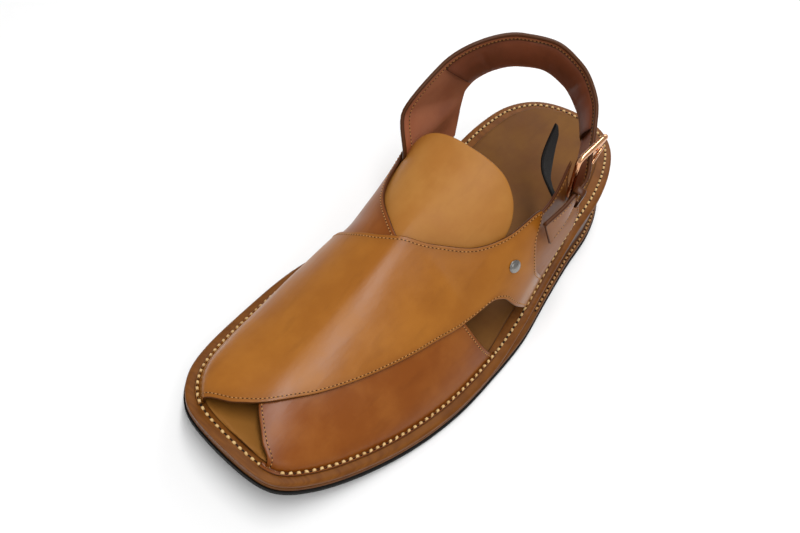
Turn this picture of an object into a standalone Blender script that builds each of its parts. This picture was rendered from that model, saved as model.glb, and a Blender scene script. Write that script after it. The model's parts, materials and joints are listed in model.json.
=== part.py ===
"""Left chappal: crossed vamp straps on a stitched-down sole, with a buckled heel strap.

Metres. X runs to the lateral side, the toe points to -Y, and the sole stands on z = 0. The
origin is under the middle of the sole. Tables hold shares of the named sizes.
"""

import math

import bpy
import numpy as np

MM = 0.001

# Driving sizes
STITCH_LENGTH = 285 * MM  # toe to heel along the welt stitches
BALL_WIDTH = 104.6 * MM  # across the welt stitches at the ball
WELT_MARGIN = 5.5 * MM  # stitches to the sole's edge at the front
WELT_MARGIN_REAR = 4.2 * MM  # the same on the welt beside the wedge
MIDSOLE_MARGIN_REAR = 7.0 * MM  # leaves the ledge that the lower stitches run on
MARGIN_FROM, MARGIN_REACH = 0.40, 0.14  # where one goes over to the other
WEDGE_STEP = 0.6 * MM  # how far the wedge stands back under the welt
INSTEP = 66.0 * MM  # crest of the last above the floor at the throat
STRAP_HEIGHT = 121.0 * MM  # highest point of the heel strap
RUBBER = 3.2 * MM
LAYER = 2.7 * MM  # each of the two leather layers of the sole
TOE_SPRING = 15.0 * MM
HEEL_RISE = 29.0 * MM
FOOTBED = 2.8 * MM
FOOTBED_INSET = 5.0 * MM
FOOTBED_CROWN = 1.0 * MM
LEATHER = 1.7 * MM  # wall of the vamp panels
STRAP_LEATHER = 1.6 * MM
FOOT_INSET = 2.4 * MM  # the last's foot stands this far inside the stitches
FLANGE = 4.8 * MM  # the vamp's turned-out foot, which the welt stitches hold
OVERLAP = 1.1 * MM  # how far joined straps run into each other
TONGUE = 3.6 * MM
PAD = 2.6 * MM
GUARD = 1.2 * MM
BUCKLE_WIRE = 1.25 * MM  # radius
PRONG_WIRE = 0.8 * MM  # radius
RIVET_RADIUS = 3.3 * MM
RIVET_HEIGHT = 1.3 * MM
GAP = 0.3 * MM

# Shares of the stitch length
SPRING_REACH = 0.27
WEDGE_START = 0.50

# The stitch line: how far along it is, and how far across as shares of the ball's width
TOE_ACROSS = 0.057
OUTLINE = (
    # along, medial, lateral
    (0.007, -0.230, 0.172),
    (0.021, -0.310, 0.220),
    (0.053, -0.388, 0.277),
    (0.105, -0.444, 0.342),
    (0.210, -0.490, 0.435),
    (0.316, -0.499, 0.489),
    (0.421, -0.457, 0.498),
    (0.526, -0.384, 0.475),
    (0.632, -0.342, 0.427),
    (0.737, -0.376, 0.383),
    (0.842, -0.376, 0.350),
    (0.910, -0.344, 0.296),
    (0.965, -0.258, 0.216),
    (0.991, -0.143, 0.130),
)

# How the wedge lifts the heel
RISE = (
    # along, share of the heel rise
    (0.000, 0.000),
    (0.460, 0.000),
    (0.526, 0.040),
    (0.579, 0.160),
    (0.632, 0.345),
    (0.684, 0.545),
    (0.737, 0.717),
    (0.842, 0.886),
    (0.950, 0.985),
    (1.000, 1.000),
)

# Sections of the last: the crest's height is a share of the instep, widths of the ball's width
SECTIONS = (
    # along, crest height, crest across, lateral fullness, medial fullness, medial bulge
    (0.000, 0.432, -0.060, 2.20, 2.2, 0.00),
    (0.053, 0.455, -0.075, 1.90, 2.2, 0.00),
    (0.123, 0.500, -0.080, 1.50, 1.8, 0.00),
    (0.207, 0.606, -0.085, 1.45, 1.65, 0.00),
    (0.300, 0.760, -0.088, 1.40, 1.65, 0.00),
    (0.354, 0.870, -0.090, 1.33, 1.75, 0.00),
    (0.404, 0.990, -0.092, 1.32, 1.9, 0.00),
    (0.450, 1.100, -0.090, 1.60, 2.2, 0.02),
    (0.505, 1.235, -0.085, 1.90, 2.6, 0.05),
    (0.580, 1.410, -0.080, 2.20, 3.0, 0.09),
    (0.640, 1.520, -0.075, 2.40, 3.4, 0.10),
    (0.750, 1.650, -0.060, 2.60, 3.4, 0.06),
)

# Vamp panels: each row crosses a panel from its front edge to its rear one. Turn is 0 at the
# lateral stitches, 0.5 on the crest and 1 at the medial stitches.
BARE_FROM, COVERED_BY = 0.92, 0.80  # turns between which the top panel climbs on the under one
TOP_PANEL = (
    # front along, front turn, rear along, rear turn
    (0.018, 1.000, 0.424, 1.000),
    (0.020, 0.870, 0.396, 0.900),
    (0.024, 0.730, 0.380, 0.790),
    (0.033, 0.594, 0.373, 0.680),
    (0.062, 0.475, 0.376, 0.595),
    (0.123, 0.353, 0.389, 0.505),
    (0.190, 0.295, 0.409, 0.412),
    (0.253, 0.261, 0.437, 0.359),
    (0.330, 0.228, 0.468, 0.316),
    (0.402, 0.199, 0.515, 0.282),
    (0.452, 0.192, 0.588, 0.246),
    (0.474, 0.171, 0.562, 0.200),
    (0.497, 0.116, 0.556, 0.140),
    (0.561, 0.000, 0.622, 0.000),
)
UNDER_PANEL = (
    # front along, front turn, rear along, rear turn
    (0.017, 0.000, 0.446, 0.000),
    (0.017, 0.160, 0.422, 0.090),
    (0.020, 0.310, 0.402, 0.199),
    (0.043, 0.425, 0.388, 0.300),
    (0.061, 0.480, 0.382, 0.400),
    (0.123, 0.600, 0.389, 0.503),
    (0.190, 0.690, 0.410, 0.595),
    (0.270, 0.755, 0.441, 0.676),
    (0.350, 0.810, 0.479, 0.730),
    (0.410, 0.868, 0.518, 0.758),
    (0.455, 0.886, 0.553, 0.772),
    (0.476, 0.890, 0.560, 0.833),
    (0.510, 0.950, 0.566, 0.905),
    (0.550, 1.000, 0.615, 1.000),
)

# The heel strap, from the medial quarter round the heel, through the buckle, to its tip. Across
# is a share of the ball's width, along of the stitch length, height of the strap's height.
HEEL_STRAP = (
    # upper edge: across, along, height; lower edge: across, along, height
    (-0.408, 0.566, 0.255, -0.396, 0.716, 0.390),
    (-0.432, 0.550, 0.410, -0.420, 0.728, 0.470),
    (-0.448, 0.522, 0.575, -0.433, 0.733, 0.540),
    (-0.460, 0.550, 0.735, -0.434, 0.734, 0.600),
    (-0.444, 0.628, 0.868, -0.420, 0.743, 0.655),
    (-0.368, 0.690, 0.955, -0.348, 0.762, 0.739),
    (-0.236, 0.743, 0.999, -0.245, 0.783, 0.791),
    (-0.089, 0.773, 1.000, -0.132, 0.803, 0.805),
    (0.061, 0.779, 0.960, -0.010, 0.809, 0.778),
    (0.200, 0.760, 0.893, 0.119, 0.796, 0.722),
    (0.282, 0.722, 0.838, 0.229, 0.757, 0.671),
    (0.345, 0.684, 0.785, 0.308, 0.694, 0.652),
    (0.396, 0.652, 0.712, 0.380, 0.660, 0.575),
    (0.394, 0.610, 0.664, 0.408, 0.622, 0.522),
    (0.376, 0.556, 0.622, 0.412, 0.588, 0.471),
)
STRAP_ON_VAMP = 3  # rows whose first edge lies on the last
PADDED_ROWS = (4, 10)  # rows of the heel strap that the pad lines
PAD_TOP, PAD_BOTTOM = 0.10, 0.92  # shares of the strap's width

# The tab that holds the buckle, from the lateral stitches up, in the same shares
BUCKLE_TAB = (
    # front edge: across, along, height; rear edge: across, along, height
    (0.420, 0.570, 0.250, 0.393, 0.706, 0.345),
    (0.390, 0.540, 0.420, 0.385, 0.708, 0.430),
    (0.345, 0.545, 0.540, 0.368, 0.702, 0.500),
    (0.314, 0.604, 0.640, 0.332, 0.676, 0.555),
    (0.292, 0.648, 0.777, 0.285, 0.664, 0.655),
)

# The felt leaf between the buckle and the foot, from the tab inwards, in the same shares
GUARD_LEAF = (
    # front edge: across, along, height; rear edge: across, along, height
    (0.313, 0.628, 0.600, 0.333, 0.664, 0.520),
    (0.253, 0.635, 0.628, 0.268, 0.674, 0.529),
    (0.201, 0.640, 0.661, 0.210, 0.695, 0.529),
    (0.172, 0.639, 0.727, 0.167, 0.712, 0.595),
    (0.158, 0.649, 0.810, 0.153, 0.702, 0.727),
    (0.153, 0.660, 0.872, 0.153, 0.670, 0.851),
)

# The tongue: turn across the last, where its hidden front and its top edge lie along it
TONGUE_SHAPE = (
    # turn, front along, rear along
    (0.272, 0.400, 0.500),
    (0.310, 0.340, 0.545),
    (0.380, 0.310, 0.560),
    (0.460, 0.305, 0.560),
    (0.540, 0.305, 0.549),
    (0.620, 0.310, 0.533),
    (0.690, 0.325, 0.512),
    (0.735, 0.370, 0.480),
)
TONGUE_CROWN = 0.35  # share of its thickness that the edges lose

# The buckle's frame, in the same shares: the rear bar, and the step to the front bar
REAR_BAR_TOP = (0.318, 0.688, 0.872)
REAR_BAR_FOOT = (0.258, 0.699, 0.632)
FRONT_BAR_TOP = (0.394, 0.675, 0.774)
FRONT_BAR_FOOT = (0.368, 0.682, 0.590)

# Rivets: along, turn
RIVETS = {"rivet_lateral": (0.509, 0.212), "rivet_medial": (0.530, 0.866)}

# Fineness
STATIONS = 46
PANEL_STEPS = 3
PANEL_CROSS = 12
PANEL_EASE = 1.5  # gathers a panel's points at its front edge, where the toe curves most
STRAP_STEPS = 3
STRAP_CROSS = 4

COLOURS = {
    "outsole": ((0.012, 0.012, 0.012), 0.75, 0.0),
    "midsole": ((0.130, 0.055, 0.014), 0.45, 0.0),
    "heel_wedge": ((0.070, 0.030, 0.010), 0.45, 0.0),
    "welt": ((0.170, 0.072, 0.016), 0.40, 0.0),
    "insole": ((0.170, 0.090, 0.025), 0.60, 0.0),
    "upper": ((0.290, 0.120, 0.025), 0.35, 0.0),
    "tongue": ((0.420, 0.210, 0.060), 0.40, 0.0),
    "heel_pad": ((0.130, 0.040, 0.018), 0.50, 0.0),
    "buckle_frame": ((0.800, 0.480, 0.270), 0.20, 1.0),
    "buckle_prong": ((0.800, 0.480, 0.270), 0.20, 1.0),
    "strap_keeper": ((0.200, 0.090, 0.030), 0.35, 0.0),
    "buckle_guard": ((0.012, 0.012, 0.013), 0.90, 0.0),
    "rivet_lateral": ((0.600, 0.600, 0.580), 0.25, 1.0),
    "rivet_medial": ((0.600, 0.600, 0.580), 0.25, 1.0),
}


def eased(rows, column, x):
    """Monotone cubic through one column of a table, by the table's first column."""
    xs = np.array([row[0] for row in rows])
    ys = np.array([row[column] for row in rows])
    x = np.clip(x, xs[0], xs[-1])
    step = np.diff(xs)
    rise = np.diff(ys) / step
    slope = np.zeros(len(xs))
    slope[0], slope[-1] = rise[0], rise[-1]
    for i in range(1, len(xs) - 1):
        if rise[i - 1] * rise[i] > 0:
            before, after = 2 * step[i] + step[i - 1], step[i] + 2 * step[i - 1]
            slope[i] = (before + after) / (before / rise[i - 1] + after / rise[i])
    i = np.clip(np.searchsorted(xs, x) - 1, 0, len(step) - 1)
    t = (x - xs[i]) / step[i]
    left = (2 * t**3 - 3 * t**2 + 1) * ys[i] + (t**3 - 2 * t**2 + t) * step[i] * slope[i]
    right = (3 * t**2 - 2 * t**3) * ys[i + 1] + (t**3 - t**2) * step[i] * slope[i + 1]
    return left + right


def refined(rows, steps):
    """The rows of a table, with steps - 1 eased rows added between each two."""
    numbered = [(i, *row) for i, row in enumerate(rows)]
    at = np.linspace(0, len(rows) - 1, (len(rows) - 1) * steps + 1)
    return np.stack([eased(numbered, c, at) for c in range(1, len(numbered[0]))], 1)


def round_curve(points, per_span):
    """Closed centripetal Catmull-Rom curve through the points."""
    points = np.array(points, float)
    count = len(points)
    made = []
    for i in range(count):
        a, b, c, d = (points[(i + k) % count] for k in (-1, 0, 1, 2))
        t1 = np.linalg.norm(b - a) ** 0.5
        t2 = t1 + np.linalg.norm(c - b) ** 0.5
        t3 = t2 + np.linalg.norm(d - c) ** 0.5
        for t in np.linspace(t1, t2, per_span, endpoint=False):
            ab = (t1 - t) / t1 * a + t / t1 * b
            bc = (t2 - t) / (t2 - t1) * b + (t - t1) / (t2 - t1) * c
            cd = (t3 - t) / (t3 - t2) * c + (t - t2) / (t3 - t2) * d
            abc = (t2 - t) / t2 * ab + t / t2 * bc
            bcd = (t3 - t) / (t3 - t1) * bc + (t - t1) / (t3 - t1) * cd
            made.append((t2 - t) / (t2 - t1) * abc + (t - t1) / (t2 - t1) * bcd)
    return np.array(made)


def rearward(front, rear):
    """A margin that eases from its value at the front to the one beside the wedge."""
    def margin(y):
        share = np.clip((y / STITCH_LENGTH - MARGIN_FROM) / MARGIN_REACH, 0, 1)
        return front + (rear - front) * share**2 * (3 - 2 * share)
    return margin


def stitch_line(margin):
    """The stitch line moved outwards, as (across, along) points from the toe. The margin is a
    length, or a function of the distance along."""
    toe = [(TOE_ACROSS * BALL_WIDTH, 0.0)]
    heel = [(0.0, STITCH_LENGTH)]
    lateral = [(row[2] * BALL_WIDTH, row[0] * STITCH_LENGTH) for row in OUTLINE]
    medial = [(row[1] * BALL_WIDTH, row[0] * STITCH_LENGTH) for row in OUTLINE]
    points = round_curve(toe + lateral + heel + medial[::-1], 12)
    ahead = np.roll(points, -1, 0) - np.roll(points, 1, 0)
    ahead /= np.linalg.norm(ahead, axis=1)[:, None]
    reach = margin(points[:, 1])[:, None] if callable(margin) else margin
    return points + reach * np.stack([ahead[:, 1], -ahead[:, 0]], 1)


def sides(margin):
    """The lateral and the medial side of the moved stitch line, each from toe to heel."""
    points = stitch_line(margin)
    points = np.roll(points, -int(points[:, 1].argmin()), 0)
    heel = int(points[:, 1].argmax())
    return points[: heel + 1], np.vstack([points[heel:], points[:1]])[::-1]


FOOT_SIDES = sides(-FOOT_INSET)


def foot(y, lateral):
    """Across position of the last's foot on one side."""
    line = FOOT_SIDES[0 if lateral else 1]
    return np.interp(y, line[:, 1], line[:, 0])


def ground(y):
    """Underside of the sole: turned up at the toe."""
    return TOE_SPRING * np.clip(1 - y / (SPRING_REACH * STITCH_LENGTH), 0, None) ** 2


def lift(y):
    return HEEL_RISE * eased(RISE, 1, y / STITCH_LENGTH)


def rubber_top(y):
    return ground(y) + RUBBER


def midsole_top(y):
    return rubber_top(y) + GAP + LAYER


def welt_foot(y):
    return midsole_top(y) + GAP + lift(y)


def seat(y):
    """Top of the welt, where the upper and the footbed stand."""
    return welt_foot(y) + LAYER


def last(y, turn):
    """A point of the last at a distance along it and a turn round it."""
    share = y / STITCH_LENGTH
    lateral = turn < 0.5
    crest = eased(SECTIONS, 1, share) * INSTEP
    middle = eased(SECTIONS, 2, share) * BALL_WIDTH
    fullness = eased(SECTIONS, 3 if lateral else 4, share)
    out = abs(math.cos(turn * math.pi)) ** (2 / fullness)
    up = max(math.sin(turn * math.pi), 0.0) ** (2 / fullness)
    bulge = 0.0 if lateral else 2 * out * up * eased(SECTIONS, 5, share) * BALL_WIDTH
    across = middle + (foot(y, lateral) - middle) * out - bulge
    return np.array([across, y, seat(y) + (crest - seat(y)) * up])


def outward(points, inside):
    """Unit normals of a grid of points, pointing away from the point inside."""
    normals = np.cross(np.gradient(points, axis=0), np.gradient(points, axis=1))
    normals /= np.maximum(np.linalg.norm(normals, axis=2), 1e-12)[:, :, None]
    return normals if ((points - inside) * normals).sum() > 0 else -normals


def placed(point):
    """From the toe's frame to the part's frame, with its origin under the middle of the sole."""
    return point - np.array([0.0, STITCH_LENGTH / 2, 0.0])


def make(name, points, faces):
    """One named object with its own material, its faces pointing out."""
    mesh = bpy.data.meshes.new(name)
    mesh.from_pydata([tuple(p) for p in placed(np.asarray(points))], [], faces)
    mesh.update()
    if sum(face.center.dot(face.normal) * face.area for face in mesh.polygons) < 0:
        mesh.flip_normals()
    mesh.shade_smooth()
    mesh.set_sharp_from_angle(angle=math.radians(35))
    obj = bpy.data.objects.new(name, mesh)
    bpy.context.scene.collection.objects.link(obj)
    if name in COLOURS:
        mesh.materials.append(material(name, *COLOURS[name]))
    return obj


def material(name, colour, roughness, metallic):
    made = bpy.data.materials.new(name)
    made.use_nodes = True
    shader = made.node_tree.nodes["Principled BSDF"]
    shader.inputs["Base Color"].default_value = (*colour, 1.0)
    shader.inputs["Roughness"].default_value = roughness
    shader.inputs["Metallic"].default_value = metallic
    return made


def grid_faces(rows, columns, start, flip):
    """Triangles of a grid of points, so that curved cells keep one clear shape."""
    faces = []
    for i in range(rows - 1):
        for j in range(columns - 1):
            a = start + i * columns + j
            b, c, d = a + columns, a + columns + 1, a + 1
            for face in ((a, b, c), (a, c, d)):
                faces.append(face[::-1] if flip else face)
    return faces


def sheet(name, inner, outer):
    """A closed wall between two grids of points."""
    rows, columns = inner.shape[:2]
    half = rows * columns
    points = np.vstack([inner.reshape(-1, 3), outer.reshape(-1, 3)])
    faces = grid_faces(rows, columns, 0, True) + grid_faces(rows, columns, half, False)
    rim = [i * columns for i in range(rows)]
    rim += [(rows - 1) * columns + j for j in range(1, columns)]
    rim += [i * columns + columns - 1 for i in range(rows - 2, -1, -1)]
    rim += [j for j in range(columns - 2, 0, -1)]
    for a, b in zip(rim, rim[1:] + rim[:1]):
        faces += [(a, b + half, a + half), (a, b, b + half)]
    return make(name, points, faces)


def plate(name, margin, bottom, top, start, end, edge_rows, crown=0.0):
    """A layer of the sole: sections across it at stations along it. Each edge row is a share of
    the thickness and how far the edge stands back there."""
    lateral, medial = sides(margin)
    first = max(start * STITCH_LENGTH, lateral[0, 1])
    final = min(end * STITCH_LENGTH, lateral[-1, 1])
    steps = (1 - np.cos(np.linspace(0, math.pi, STATIONS))) / 2
    inset = 0.02 * MM
    stations = first + inset + (final - first - 2 * inset) * steps
    points = []
    for y in stations:
        low, high = bottom(y), top(y)
        left = np.interp(y, medial[:, 1], medial[:, 0])
        right = np.interp(y, lateral[:, 1], lateral[:, 0])
        half = (right - left) / 2
        for share, back in edge_rows:
            points.append((right - min(back, 0.5 * half), y, low + (high - low) * share))
        if crown:
            for across in (0.7, 0.0, -0.7):
                x = (left + right) / 2 + across * half
                points.append((x, y, high + crown * (1 - across**2)))
        for share, back in edge_rows[::-1]:
            points.append((left + min(back, 0.5 * half), y, low + (high - low) * share))
    ring = len(points) // len(stations)
    faces = []
    for i in range(len(stations) - 1):
        for j in range(ring):
            a, b = i * ring + j, i * ring + (j + 1) % ring
            faces += [(a, b, b + ring), (a, b + ring, a + ring)]
    faces.append(tuple(range(ring))[::-1])
    faces.append(tuple((len(stations) - 1) * ring + j for j in range(ring)))
    return make(name, points, faces)


def sole_parts():
    square = ((0.0, 0.3 * MM), (0.15, 0.0), (1.0, 0.0))
    rounded = ((0.0, 0.0), (0.55, 0.0), (0.85, 0.5 * MM), (1.0, 1.3 * MM))
    lower = rearward(WELT_MARGIN, MIDSOLE_MARGIN_REAR)
    plate("outsole", lower, ground, rubber_top, -1, 2, square)
    plate("midsole", lower, lambda y: rubber_top(y) + GAP, midsole_top, -1, 2, rounded)
    plate("heel_wedge", WELT_MARGIN_REAR - WEDGE_STEP, lambda y: midsole_top(y) + GAP,
          lambda y: welt_foot(y) - GAP, WEDGE_START, 2, ((0.0, 0.0), (1.0, 0.0)))
    plate("welt", rearward(WELT_MARGIN, WELT_MARGIN_REAR), welt_foot, seat, -1, 2, rounded)
    plate("insole", -FOOTBED_INSET, lambda y: seat(y) + GAP, lambda y: seat(y) + GAP + FOOTBED,
          -1, 2, ((0.0, 0.0), (0.5, 0.0), (1.0, 1.5 * MM)), FOOTBED_CROWN)


def foot_rows(base, low, high, lateral, stand, thickness):
    """The edge of a turned-out foot and the corner where its wall starts, each as the inner and
    the outer row of points."""
    slope = (foot(base[:, 1] + MM, lateral) - foot(base[:, 1] - MM, lateral)) / (2 * MM)
    side = np.stack([np.ones(len(base)), -slope, np.zeros(len(base))], 1)
    side *= (1 if lateral else -1) / np.linalg.norm(side, axis=1)[:, None]

    def on_welt(out, height):
        points = base + out * side
        points[:, 2] = seat(points[:, 1]) + height
        return points

    edge = on_welt(FLANGE, stand), on_welt(FLANGE, stand + thickness)
    return edge, (on_welt(low, stand), on_welt(high, stand + thickness))


def vamp_panel(name, rows, low, high):
    """A panel that crosses the last from the stitches on one side to those on the other, with
    its feet turned out on the welt. Low and high are its two faces' heights above the last,
    which it comes down to at its medial foot, where no other panel lies under it."""
    table = refined(rows, PANEL_STEPS)
    shares = np.linspace(0, 1, PANEL_CROSS) ** PANEL_EASE
    front, rear = table[:, None, 0:2], table[:, None, 2:4]
    domain = front + (rear - front) * shares[None, :, None]
    grid = np.array([[last(s * STITCH_LENGTH, t) for s, t in row] for row in domain])
    heart = np.array([0.0, 0.25 * STITCH_LENGTH, 0.3 * INSTEP])
    normals = outward(grid, heart)
    share = np.clip((BARE_FROM - domain[:, :, 1:]) / (BARE_FROM - COVERED_BY), 0, 1)
    lows, highs = low * share, LEATHER + (high - LEATHER) * share
    inner, outer = grid + lows * normals, grid + highs * normals
    starts_lateral = rows[0][1] < 0.5
    start, first = foot_rows(grid[0], lows[0], highs[0], starts_lateral, GAP, LEATHER)
    end, final = foot_rows(grid[-1], lows[-1], highs[-1], not starts_lateral, GAP, LEATHER)
    inner = np.vstack([start[0][None], first[0][None], inner[1:-1], final[0][None], end[0][None]])
    outer = np.vstack([start[1][None], first[1][None], outer[1:-1], final[1][None], end[1][None]])
    for points in (inner, outer):
        points[:, :, 2] = np.maximum(points[:, :, 2], seat(points[:, :, 1]) + GAP)
    return sheet(name, inner, outer)


def scaled(rows):
    """Rows of two edges in metres, as an array of row, edge, coordinate."""
    size = np.array([BALL_WIDTH, STITCH_LENGTH, STRAP_HEIGHT])
    return np.array(rows).reshape(-1, 2, 3) * size


def ruled(edges, steps, cross, top=0.0, bottom=1.0):
    """A grid of points between the two edges."""
    table = refined([tuple(row.ravel()) for row in edges], steps)
    upper, lower = table[:, None, 0:3], table[:, None, 3:6]
    return upper + (lower - upper) * np.linspace(top, bottom, cross)[None, :, None]


def on_last(y, z, lateral):
    """The point of the last's side at a distance along it and a height."""
    turns = np.linspace(0.0, 0.45, 91) if lateral else np.linspace(1.0, 0.55, 91)
    points = np.array([last(y, turn) for turn in turns])
    return np.array([np.interp(z, points[:, 2], points[:, 0]), y, z])


def joined_to_vamp(rows, count, lateral):
    """The two edges of a band, with the first edge of its first rows moved onto the last, where
    it lies inside the vamp panel."""
    edges = scaled(rows)
    for row in edges[:count]:
        row[0] = on_last(row[0, 1], row[0, 2], lateral)
    return edges


def quarter(name, rows, on_vamp, low, high, inside, lateral):
    """A band that rises from the stitches, turned out on the welt."""
    grid = ruled(joined_to_vamp(rows, on_vamp, lateral), STRAP_STEPS, STRAP_CROSS)
    normals = outward(grid, inside)
    inner, outer = grid + low * normals, grid + high * normals
    base = grid[0].copy()
    base[:, 0] = foot(base[:, 1], lateral)
    edge, corner = foot_rows(base, low, high, lateral, GAP + 0.2 * MM, LEATHER - 0.4 * MM)
    inner = np.vstack([edge[0][None], corner[0][None], inner])
    outer = np.vstack([edge[1][None], corner[1][None], outer])
    return sheet(name, inner, outer)


def upper():
    """The joined straps as one hollow solid."""
    heart = np.array([0.0, 0.68 * STITCH_LENGTH, 0.6 * STRAP_HEIGHT])
    half = STRAP_LEATHER / 2
    under = vamp_panel("upper", UNDER_PANEL, 0.0, LEATHER)
    top = vamp_panel("top_panel", TOP_PANEL, LEATHER - OVERLAP, 2 * LEATHER - 0.3 * MM)
    heel = quarter("heel_strap", HEEL_STRAP, STRAP_ON_VAMP, -half, half, heart, False)
    tab = quarter("buckle_tab", BUCKLE_TAB, 3, 0.0, STRAP_LEATHER, heart, True)
    for other in (top, heel, tab):
        join = under.modifiers.new("join_" + other.name, "BOOLEAN")
        join.operation = "UNION"
        join.solver = "EXACT"
        join.object = other
        other.hide_render = True
        other.display_type = "WIRE"


def tongue():
    table = refined(TONGUE_SHAPE, 3)
    shares = np.linspace(0, 1, 10)
    rows = [[(front + (rear - front) * s, turn) for s in shares] for turn, front, rear in table]
    grid = np.array([[last(a * STITCH_LENGTH, t) for a, t in row] for row in rows])
    heart = np.array([0.0, 0.4 * STITCH_LENGTH, 0.3 * INSTEP])
    normals = outward(grid, heart)
    across = np.linspace(-1, 1, grid.shape[0])[:, None]
    ahead = np.linspace(-1, 1, grid.shape[1])[None, :]
    crown = 1 - TONGUE_CROWN * np.maximum(np.abs(across), np.abs(ahead)) ** 4
    depth = (TONGUE * crown)[:, :, None]
    outer = grid - (GAP + 0.3 * MM) * normals
    sheet("tongue", outer - depth * normals, outer)


def heel_pad():
    heart = np.array([0.0, 0.68 * STITCH_LENGTH, 0.6 * STRAP_HEIGHT])
    edges = joined_to_vamp(HEEL_STRAP, STRAP_ON_VAMP, False)
    grid = ruled(edges, STRAP_STEPS, 5, PAD_TOP, PAD_BOTTOM)
    lined = slice(PADDED_ROWS[0] * STRAP_STEPS, PADDED_ROWS[1] * STRAP_STEPS + 1)
    normals = outward(grid, heart)[lined]
    grid = grid[lined]
    face = STRAP_LEATHER / 2 + GAP
    bulge = np.sin(np.linspace(0.12, 1 - 0.12, 5) * math.pi)[None, :, None]
    sheet("heel_pad", grid - (face + PAD * bulge) * normals, grid - face * normals)


def guard():
    inside = np.array([-0.5 * BALL_WIDTH, 0.6 * STITCH_LENGTH, 0.6 * STRAP_HEIGHT])
    grid = ruled(scaled(GUARD_LEAF), 2, 5)
    normals = outward(grid, inside)
    sheet("buckle_guard", grid - GUARD / 2 * normals, grid + GUARD / 2 * normals)


def tube(name, path, radius, closed, count=8):
    """A round wire along a path, closed or with flat ends."""
    path = np.array(path)
    if closed:
        ahead = np.roll(path, -1, 0) - np.roll(path, 1, 0)
        level = np.cross(path[1] - path[0], path[-1] - path[0])
    else:
        ahead = np.gradient(path, axis=0)
        level = np.cross(path[1] - path[0], path[-1] - path[0] + np.array([0, 0, 1e-6]))
    ahead /= np.linalg.norm(ahead, axis=1)[:, None]
    level /= np.linalg.norm(level)
    points = []
    for p, a in zip(path, ahead):
        aside = np.cross(a, level)
        aside /= np.linalg.norm(aside)
        over = np.cross(aside, a)
        for k in range(count):
            angle = 2 * math.pi * k / count
            points.append(p + radius * (math.cos(angle) * aside + math.sin(angle) * over))
    faces = []
    spans = len(path) if closed else len(path) - 1
    for i in range(spans):
        for k in range(count):
            a, b = i * count + k, i * count + (k + 1) % count
            c, d = (((i + 1) % len(path)) * count + j % count for j in (k + 1, k))
            faces.append((a, b, c, d))
    if not closed:
        faces.append(tuple(range(count))[::-1])
        faces.append(tuple((len(path) - 1) * count + k for k in range(count)))
    return make(name, points, faces)


def rounded_loop(corners, radius, per_corner=4):
    """A closed path through four corners, each cut by an arc-like curve."""
    corners = np.array(corners)
    path = []
    for i, corner in enumerate(corners):
        before = corners[i - 1] - corner
        after = corners[(i + 1) % 4] - corner
        start = corner + before / np.linalg.norm(before) * radius
        end = corner + after / np.linalg.norm(after) * radius
        for t in np.linspace(0, 1, per_corner):
            path.append((1 - t) ** 2 * start + 2 * t * (1 - t) * corner + t**2 * end)
    return path


def buckle():
    size = np.array([BALL_WIDTH, STITCH_LENGTH, STRAP_HEIGHT])
    rear_top, rear_foot, front_top, front_foot = (
        np.array(p) * size for p in (REAR_BAR_TOP, REAR_BAR_FOOT, FRONT_BAR_TOP, FRONT_BAR_FOOT))
    tube("buckle_frame", rounded_loop([rear_top, rear_foot, front_foot, front_top], 3 * MM),
         BUCKLE_WIRE, True)
    along = (front_top + front_foot - rear_top - rear_foot) / 2
    face = np.cross(rear_top - rear_foot, along)
    face /= np.linalg.norm(face)
    face *= 1 if face[0] > 0 else -1
    centre = (rear_top + rear_foot) / 2
    clear = BUCKLE_WIRE + PRONG_WIRE + GAP
    reach = ((-0.15, -1.05), (0.10, -1.05), (0.24, -0.85))
    prong = [centre + face * clear * out + along * ahead for ahead, out in reach]
    tube("buckle_prong", prong, PRONG_WIRE, False, 6)


def keeper():
    """A narrow leather loop round the strap's free end and the tab under it."""
    rows = scaled(HEEL_STRAP)
    upper_edge, lower_edge = rows[-3]
    next_upper, next_lower = rows[-2]
    ahead = (next_upper + next_lower - upper_edge - lower_edge) / 2
    ahead /= np.linalg.norm(ahead)
    wide = upper_edge - lower_edge
    wide -= ahead * (wide @ ahead)
    half = np.linalg.norm(wide) / 2 + 1.6 * MM
    wide /= np.linalg.norm(wide)
    face = np.cross(wide, ahead)
    face *= 1 if face[0] > 0 else -1
    centre = (upper_edge + lower_edge) / 2 + ahead * 2.5 * MM
    near, far = 2.2 * MM, -1.9 * MM
    thick, breadth = 1.0 * MM, 3.8 * MM
    inner = rounded_loop([centre + wide * half + face * near, centre + wide * half + face * far,
                          centre - wide * half + face * far, centre - wide * half + face * near], 1.2 * MM, 3)
    outer = rounded_loop([centre + wide * (half + thick) + face * (near + thick),
                          centre + wide * (half + thick) + face * (far - thick),
                          centre - wide * (half + thick) + face * (far - thick),
                          centre - wide * (half + thick) + face * (near + thick)], 2.2 * MM, 3)
    count = len(inner)
    points = [p + ahead * s * breadth / 2 for s in (-1, 1) for p in inner]
    points += [p + ahead * s * breadth / 2 for s in (1, -1) for p in outer]
    faces = []
    for ring in range(4):
        for k in range(count):
            a, b = ring * count + k, ring * count + (k + 1) % count
            c, d = (((ring + 1) % 4) * count + j % count for j in (k + 1, k))
            faces.append((a, b, c, d))
    make("strap_keeper", points, faces)


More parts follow.
